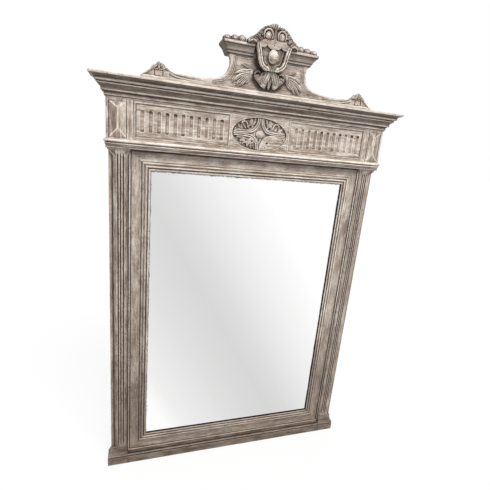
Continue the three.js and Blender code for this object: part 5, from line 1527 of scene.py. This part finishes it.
# ------------------------------------------------------------------ cresting on the caps
def cresting(name, rep, mirror, seed):
    BOSSES = ((169, 1817.6, 14.0, 8.2, -0.12), (141, 1820.2, 13.0, 10.2, -0.06), (114.5, 1821.8, 12.6, 11.0, 0.04))

    def fn(X, Z):
        G = np.minimum(Z - 1810.0, np.minimum(1817.5 - Z, np.minimum(X - 98.5, 180 - X)))
        H = np.where(G > 0, 3.0, -0.1)
        parts = [dome(X, Z, cx, cz, a, b, 11.0, base=1.4, p=0.42, rot=r_) for cx, cz, a, b, r_ in BOSSES]
        parts += [band(X, Z, [(127.6, 1812), (128, 1820), (127.8, 1826)], [3.0, 3.4, 1.8], [7, 8, 5], "round", base=1.0),
                  band(X, Z, [(155.5, 1811), (155.8, 1818), (155.4, 1823)], [3.0, 3.4, 1.8], [7, 8, 5], "round", base=1.0),
                  band(X, Z, [(100.2, 1811), (100.8, 1820), (101.4, 1826)], [3.4, 3.8, 2.0], [7, 8, 5], "round", base=1.0)]
        for gg, hh in parts:
            G = np.maximum(G, gg)
            H = np.maximum(H, hh)
        for cx, cz, a, b, r_ in BOSSES:
            r = np.hypot((X - cx) / a, (Z - cz) / b)
            H = H - 2.0 * np.exp(-((r - 0.62) / 0.10) ** 2) - 1.2 * np.exp(-(np.abs(X - cx - 0.25 * (Z - cz)) / 1.1) ** 2) * (r < 0.5)
        G = np.minimum(G, Z - 1809.9)
        G = np.minimum(G, X - 98.5)
        G = np.minimum(G, 183.6 - X)
        return G, np.clip(H, 0, 12.6)

    # halo paints shade (with wax) round each boss, in its ring and along the foot; shine paints a highlight on each
    # boss
    def halo(X, Z):
        c = 0.0 * X
        for cx, cz, a, b, r_ in BOSSES:
            r = np.hypot((X - cx) / a, (Z - cz) / b)
            c = np.maximum(c, 1.0 * np.exp(-((r - 1.0) / 0.17) ** 2))
            c = np.maximum(c, 0.6 * np.exp(-((r - 0.62) / 0.09) ** 2))
        return np.maximum(c, 0.95 * np.exp(-np.clip(Z - 1810, 0, 99) / 2.2))

    def shine(X, Z):
        h = 0.0 * X
        for cx, cz, a, b, r_ in BOSSES:
            r = np.hypot((X - cx) / a, (Z - cz) / b)
            h = np.maximum(h, 0.85 * np.exp(-((r - 0.28) / 0.22) ** 2))
        return h
    return relief(name, (95, 190, 1808, 1838), 0.7, fn, -48, -38, rep, mirror=mirror, seed=seed, drop=3, tone=1.08, wall=0.9, s1=1.2, s2=3.2, k1=0.9, k2=2.8, wob=0.12,
                  halo=halo, shine=shine)


both(cresting, "cap_cresting", "cap_cresting", seed=191)


# ------------------------------------------------------------------ acroteria
def acroterion(name, rep, mirror, seed):
    def fn(X, Z):
        out = [(362.2, 1660.3), (452, 1660.3), (444, 1665.5), (434, 1674), (425, 1684), (418, 1693), (413, 1697), (409, 1698.5), (405, 1703.5), (400, 1706.5),
               (396, 1709), (391, 1704.5), (386, 1704.0), (380, 1702.5), (376, 1697.5), (369, 1690), (362.2, 1686)]
        G = sd_poly(X, Z, out)
        H = np.full_like(X, 2.0)
        # sunk square panel with a raised face inside
        q = np.maximum(np.abs(X - 396.5) / 16.0, np.abs(Z - 1671) / 10.6)
        H = np.where(q < 1.0, 0.2, H)
        H = np.where(q < 0.72, 2.2, H)
        H = H + 0.9 * np.exp(-((q - 1.14) / 0.09) ** 2)
        # top leaves
        for C, w, hh_ in (([(380, 1687), (386, 1694), (392, 1702)], [4.5, 5.5, 2.0], 5.5), ([(412, 1687), (406, 1694), (400, 1703)], [4.5, 5.5, 2.0], 5.5),
                          ([(396, 1688), (396, 1697), (396, 1706)], [3.5, 4.5, 1.6], 6.0),
                          ([(363, 1684), (370, 1688), (379, 1687)], [3.0, 4.5, 3.5], 5.0),
                          ([(415, 1686), (424, 1680), (436, 1670), (448, 1663)], [3.5, 4.0, 3.5, 2.0], 4.5)):
            gg, hh = band(X, Z, C, w, hh_, "vein", base=1.2)
            H = np.maximum(H, hh)
        for k in range(3):
            d, s, u = along(X, Z, [(421 + k * 6, 1678 - k * 5.5), (423 + k * 6.5, 1661)])
            H = H - 1.2 * np.exp(-(d / 0.9) ** 2)
        return G, np.clip(H, -0.2, 7)

    # halo paints shade round the sunk panel and along the foot
    def halo(X, Z):
        q = np.maximum(np.abs(X - 396.5) / 16.0, np.abs(Z - 1671) / 10.6)
        return np.maximum(0.9 * np.exp(-((q - 0.86) / 0.10) ** 2), 0.7 * np.exp(-np.clip(Z - 1660.3, 0, 99) / 1.5))
    return relief(name, (360, 455, 1658, 1712), 0.7, fn, -43.5, -27, rep, mirror=mirror, seed=seed, drop=3, tone=1.0, s1=1.2, s2=3.0, k1=0.8, k2=2.2,
                  halo=halo, wob=0.1)


both(acroterion, "acroterion", "acroterion", seed=201)

# ------------------------------------------------------------------ stiles, rails and back
STI = [(494.3, 20), (494.3, 9.3), (495.3, 8.3), (563.0, 8.3), (564, 9.3), (564, 33.0), (563.0, 34)]
for side, sg in (("right", 1), ("left", -1)):
    # the dark spot paints a line of shade on the stile beside the pilaster, the light spot a faint highlight
    sp = profile(STI, -1, ds=1.1, dark=[((550.5, 8.3), 2.2, 1.0)], light=[((557, 8.3), 2.5, 0.25)])
    sweep(f"{side}_stile", sp, [(495.3, 34), (494.3, 33)], 86.3, 1650, lambda a, b, t, sg=sg: (sg * a, b, t), f"{side}_stile", seed=210 + sg,
          tone=by_height(TONE["stile"], [90, 500, 900, 1300], [0.72, 0.85, 1.05, 1.15], 8 + sg), wob=0.2, ends=(0.2, 0.2), step=16)
plank("top_rail", -494, 494, 8.3, 34, 1416.8, 1650, "top_rail", grain=0, r=1.0, mat=PINE, seed=214)
plank("bottom_rail", -494, 494, 8.3, 34, 0, 51, "bottom_rail", grain=0, r=1.0, mat=PINE, seed=215)
for nm, a, b, sd in (("left_backboard", -544.2, -182.8, 1), ("middle_backboard", -181.2, 181.2, 2), ("right_backboard", 182.8, 544.2, 3)):
    plank(nm, a, b, 34.3, 44.3, 14, 1560, nm, grain=2, r=1.6, mat=PINE, seed=216 + sd, wob=0.5)
for nm, z0, z1, sd in (("upper_back_batten", 1180, 1250, 1), ("lower_back_batten", 330, 400, 2)):
    plank(nm, -500, 500, 44.6, 60.3, z0, z1, nm, grain=0, r=2.2, mat=PINE, seed=226 + sd, wob=0.4)
for n in ("top_glass_batten", "bottom_glass_batten"):
    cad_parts[n].data.materials.clear()
    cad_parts[n].data.materials.append(PINE_X)
for n in ("left_glass_batten", "right_glass_batten"):
    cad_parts[n].data.materials.clear()
    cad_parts[n].data.materials.append(PINE_Z)


# ------------------------------------------------------------------ glass
def glass():
    x1, z0, z1 = 422.5, 123.0, 1345.0
    xs = np.unique(np.concatenate([np.linspace(-x1, -x1 + 30, 25), np.linspace(-x1 + 30, x1 - 30, 30), np.linspace(x1 - 30, x1, 25)]))
    zs = np.unique(np.concatenate([np.linspace(z0, z0 + 30, 25), np.linspace(z0 + 30, z1 - 45, 40), np.linspace(z1 - 45, z1, 34)]))
    X, Z = np.meshgrid(xs, zs)
    nz, nx = X.shape
    F = []
    yf, yb = 13.6, 15.0
    V = np.concatenate([np.stack([X.ravel(), np.full(X.size, yf), Z.ravel()], 1), np.stack([X.ravel(), np.full(X.size, yb), Z.ravel()], 1)])
    n = X.size
    for j in range(nz - 1):
        for i in range(nx - 1):
            a = j * nx + i
            F.append([a, a + 1, a + nx + 1, a + nx])
            F.append([n + a, n + a + nx, n + a + nx + 1, n + a + 1])
    ring = [i for i in range(nx)] + [j * nx + nx - 1 for j in range(1, nz)] + [(nz - 1) * nx + i for i in range(nx - 2, -1, -1)] + [j * nx for j in range(nz - 2, 0, -1)]
    for k in range(len(ring)):
        a, b = ring[k], ring[(k + 1) % len(ring)]
        F.append([b, a, n + a, n + b])
    dl, dr, db, dt = X + 414.5, 414.5 - X, Z - 131, 1337 - Z
    k = 1 + 0.6 * noise(X / 60, Z / 60, 0, 5)
    fox = np.maximum.reduce([0.62 * np.exp(-np.clip(dt, 0, 999) / (9 * k)), 0.55 * np.exp(-np.clip(dl, 0, 999) / (6.0 * k)),
                             0.42 * np.exp(-np.clip(db, 0, 999) / 5.0) * sstep(-X, -250, 150), 0.34 * np.exp(-np.clip(dr, 0, 999) / 4.5)])
    fleck = sstep(noise(X / 7.0, Z / 7.0, 2, 21) + 0.5 * noise(X / 3.0, Z / 3.0, 5, 22), 0.15, 0.75)
    fox = np.clip(fox + fleck * np.maximum(0.75 * np.exp(-(np.clip(dt, 0, 999) / 8.0) ** 2), 0.85 * np.exp(-(np.clip(dl, 0, 999) / 7.0) ** 2)), 0, 1.0)
    fox = fox.ravel()
    w_ = 1 + 0.35 * noise(Z / 40, X / 40, 1, 9)
    # rim (stored as cav): dark edge of the plate, partly blackened silver, partly painted shade reflected from the
    # rebate
    rim = np.maximum.reduce([1.15 * np.exp(-(np.clip(dr, 0, 999) / (5.2 * w_)) ** 4), 1.1 * np.exp(-(np.clip(db, 0, 999) / (3.0 * w_)) ** 4) * sstep(X, -120, 60),
                             0.75 * np.exp(-(np.clip(dl, 0, 999) / (3.4 * w_)) ** 4), 0.8 * np.exp(-(np.clip(dt, 0, 999) / (3.6 * w_)) ** 4)]).ravel()
    build("mirror_glass", V, F, SILVER, "mirror_glass", fox=np.concatenate([fox, fox]), cav=np.concatenate([rim, rim]), gco=V, angle=30)


glass()


# ------------------------------------------------------------------ hanging hardware
def tube(name, pts, r, mat, rep, body, closed=True, ns=14, V0=None):
    P = np.asarray(pts, float)
    n = len(P)
    T = np.roll(P, -1, 0) - np.roll(P, 1, 0) if closed else np.gradient(P, axis=0)
    T /= np.linalg.norm(T, axis=1)[:, None]
    U = np.array([0, 1.0, 0])
    S_ = np.cross(T, U)
    S_ /= np.linalg.norm(S_, axis=1)[:, None]
    a = np.linspace(0, 2 * math.pi, ns, endpoint=False)
    V = (P[:, None] + r * (np.cos(a)[None, :, None] * S_[:, None] + np.sin(a)[None, :, None] * U[None, None])).reshape(-1, 3)
    F = []
    for i in range(n if closed else n - 1):
        for j in range(ns):
            F.append([i * ns + j, i * ns + (j + 1) % ns, ((i + 1) % n) * ns + (j + 1) % ns, ((i + 1) % n) * ns + j])
    if not closed:
        F += [list(range(ns))[::-1], list(range((n - 1) * ns, n * ns))]
    return build(name, V, F, mat, rep, body=body, gco=V, angle=50)


RY, RZ = 49.1, 1290.0
for side, sg in (("left", -1), ("right", 1)):
    pts = []
    cx = sg * 529

    def arc(ax_, az_, r, a0, a1, n):
        for k in range(n):
            t = a0 + (a1 - a0) * k / n
            pts.append((cx + ax_ + r * math.cos(t), RY, RZ + az_ + r * math.sin(t)))
    arc(-10, -5, 5, math.pi, math.pi / 2, 8)
    for k in range(12):
        pts.append((cx - 10 + 20 * k / 12, RY, RZ))
    arc(10, -5, 5, math.pi / 2, 0, 8)
    pts.append((cx + 15, RY, RZ - 7))
    arc(0, -9, 15, 0, -math.pi, 36)
    pts.append((cx - 15, RY, RZ - 7))
    tube(f"{side}_hanging_ring", pts, 2.0, IRON, f"{side}_hanging_ring", f"{side}_ring")
    # strap: rounded plate with a curled eye
    sec = [(44.6, RZ + 60), (44.6, RZ)]
    for k in range(1, 15):
        t = math.pi + (k / 14) * math.pi * 1.62
        sec.append((RY + 4.5 * math.cos(t), RZ + 4.5 * math.sin(t)))
    for k in range(14, 0, -1):
        t = math.pi + (k / 14) * math.pi * 1.62
        sec.append((RY + 2.4 * math.cos(t), RZ + 2.4 * math.sin(t)))
    sec += [(46.7, RZ), (46.8, RZ + 4), (46.8, RZ + 60)]
    sec = np.array(sec)
    xs = np.array([-8.0, -7.6, -6.5, 0, 6.5, 7.6, 8.0])
    V, F = [], []
    for q in xs:
        inset = {8.0: 0.45, 7.6: 0.12}.get(abs(q), 0.0)
        c = sec.copy()
        c[:, 0] = np.where(c[:, 0] > 46.5, c[:, 0] - inset, c[:, 0])
        rr = 2.0 if abs(q) > 7.9 else (0.6 if abs(q) > 7.5 else 0)
        c[:, 1] = np.where(c[:, 1] > RZ + 50, c[:, 1] - rr, c[:, 1])
        V += [(cx + q, y, z) for y, z in c]
    n = len(sec)
    for i in range(len(xs) - 1):
        for j in range(n):
            F.append([i * n + j, i * n + (j + 1) % n, (i + 1) * n + (j + 1) % n, (i + 1) * n + j])
    F += [list(range(n))[::-1], list(range((len(xs) - 1) * n, len(xs) * n))]
    build(f"{side}_ring_strap", V, F, IRON, f"{side}_ring_strap", angle=35)
    # slotted round-head screws
    for i, zc in enumerate((RZ + 32, RZ + 50)):
        pr = [(0, 22.0), (0.8, 22.3), (1.9, 25), (1.9, 47.1), (4.0, 47.1), (4.0, 47.5), (3.7, 48.2), (3.0, 48.7), (2.0, 49.05), (1.0, 49.2)]
        ns = 28
        V, F = [(cx, 22.0, zc)], []
        for k, (r, y) in enumerate(pr[1:]):
            for a_ in range(ns):
                t = 2 * math.pi * a_ / ns
                sx, sz = r * math.cos(t), r * math.sin(t)
                yy = y
                if k >= 5 and abs(sx * math.cos(0.6 * i + 0.4) + sz * math.sin(0.6 * i + 0.4)) < 0.55:
                    yy = min(y, 47.9)
                V.append((cx + sx, yy, zc + sz))
        V.append((cx, 47.9, zc))
        for a_ in range(ns):
            F.append([0, 1 + (a_ + 1) % ns, 1 + a_])
        for k in range(len(pr) - 2):
            for a_ in range(ns):
                p0, p1 = 1 + k * ns + a_, 1 + k * ns + (a_ + 1) % ns
                F.append([p0, p1, p1 + ns, p0 + ns])
        last = 1 + (len(pr) - 2) * ns
        for a_ in range(ns):
            F.append([last + a_, last + (a_ + 1) % ns, len(V) - 1])
        build(f"{side}_strap_screw_{i + 1}", V, F, BRASS, f"{side}_strap_screw_{i + 1}", angle=35)

# ------------------------------------------------------------------ floor, world, lights
me = bpy.data.meshes.new("floor")
s = 60.0
me.from_pydata([(-s, -s, 0), (s, -s, 0), (s, s, 0), (-s, s, 0)], [], [(0, 1, 2, 3)])
m, nt, p = new_mat("floor")
n1 = noise_tex(nt, scaled(nt, N(nt, "ShaderNodeTexCoord").outputs["Object"], (0.6, 0.6, 0.6)), 2, 0.5)
nt.links.new(ramp(nt, n1, [(0.3, (0.078, 0.078, 0.078)), (0.7, (0.086, 0.086, 0.086))]), p.inputs["Base Color"])
p.inputs["Roughness"].default_value = 0.9
p.inputs["Specular IOR Level"].default_value = 0.1
p.inputs["Emission Color"].default_value = (1, 1, 1, 1)
p.inputs["Emission Strength"].default_value = 0.885
me.materials.append(m)
floor = bpy.data.objects.new("floor", me)
floor.location = (0, 0, -0.0006)
bpy.context.scene.collection.objects.link(floor)

world = bpy.data.worlds.new("studio")
bpy.context.scene.world = world
world.use_nodes = True
wt = world.node_tree
bg = wt.nodes["Background"]
tc = wt.nodes.new("ShaderNodeTexCoord")
sep = wt.nodes.new("ShaderNodeSeparateXYZ")
wt.links.new(tc.outputs["Generated"], sep.inputs[0])
wt.links.new(ramp(wt, math_(wt, "ADD", math_(wt, "MULTIPLY", sep.outputs[1], 0.5), 0.5), [(0.0, (1.0, 1.0, 1.0)), (1.0, (1.0, 1.0, 1.0))]),
             bg.inputs[0])
bg.inputs[1].default_value = 1.0


def sun(name, toward, angle, strength, color=(1, 1, 1)):
    """Soft sun; toward points from the mirror to the light."""
    d = bpy.data.lights.new(name, "SUN")
    d.angle = math.radians(angle)
    d.energy = strength
    d.color = color
    o = bpy.data.objects.new(name, d)
    o.rotation_euler = Vector(toward).to_track_quat("Z", "Y").to_euler()
    o.visible_glossy = False
    bpy.context.scene.collection.objects.link(o)
    return o


floor.visible_diffuse = False
floor.visible_shadow = False
world.cycles_visibility.diffuse = False
sun("key", (0.42, -0.80, 0.98), 30, 3.3, (1, 0.985, 0.955))
sun("sky", (0.0, -0.30, 1.0), 150, 1.3, (0.97, 0.985, 1.0))
sun("fill", (-0.50, -1.0, 0.20), 100, 1.05, (1, 0.985, 0.97))
sun("bounce", (0.15, -0.6, -0.8), 150, 0.50, (1, 0.89, 0.77))
sun("back", (-0.3, 1.0, 0.45), 120, 1.5, (1, 1, 1))

bpy.context.scene.view_settings.view_transform = "Standard"
bpy.context.scene.view_settings.look = "None"
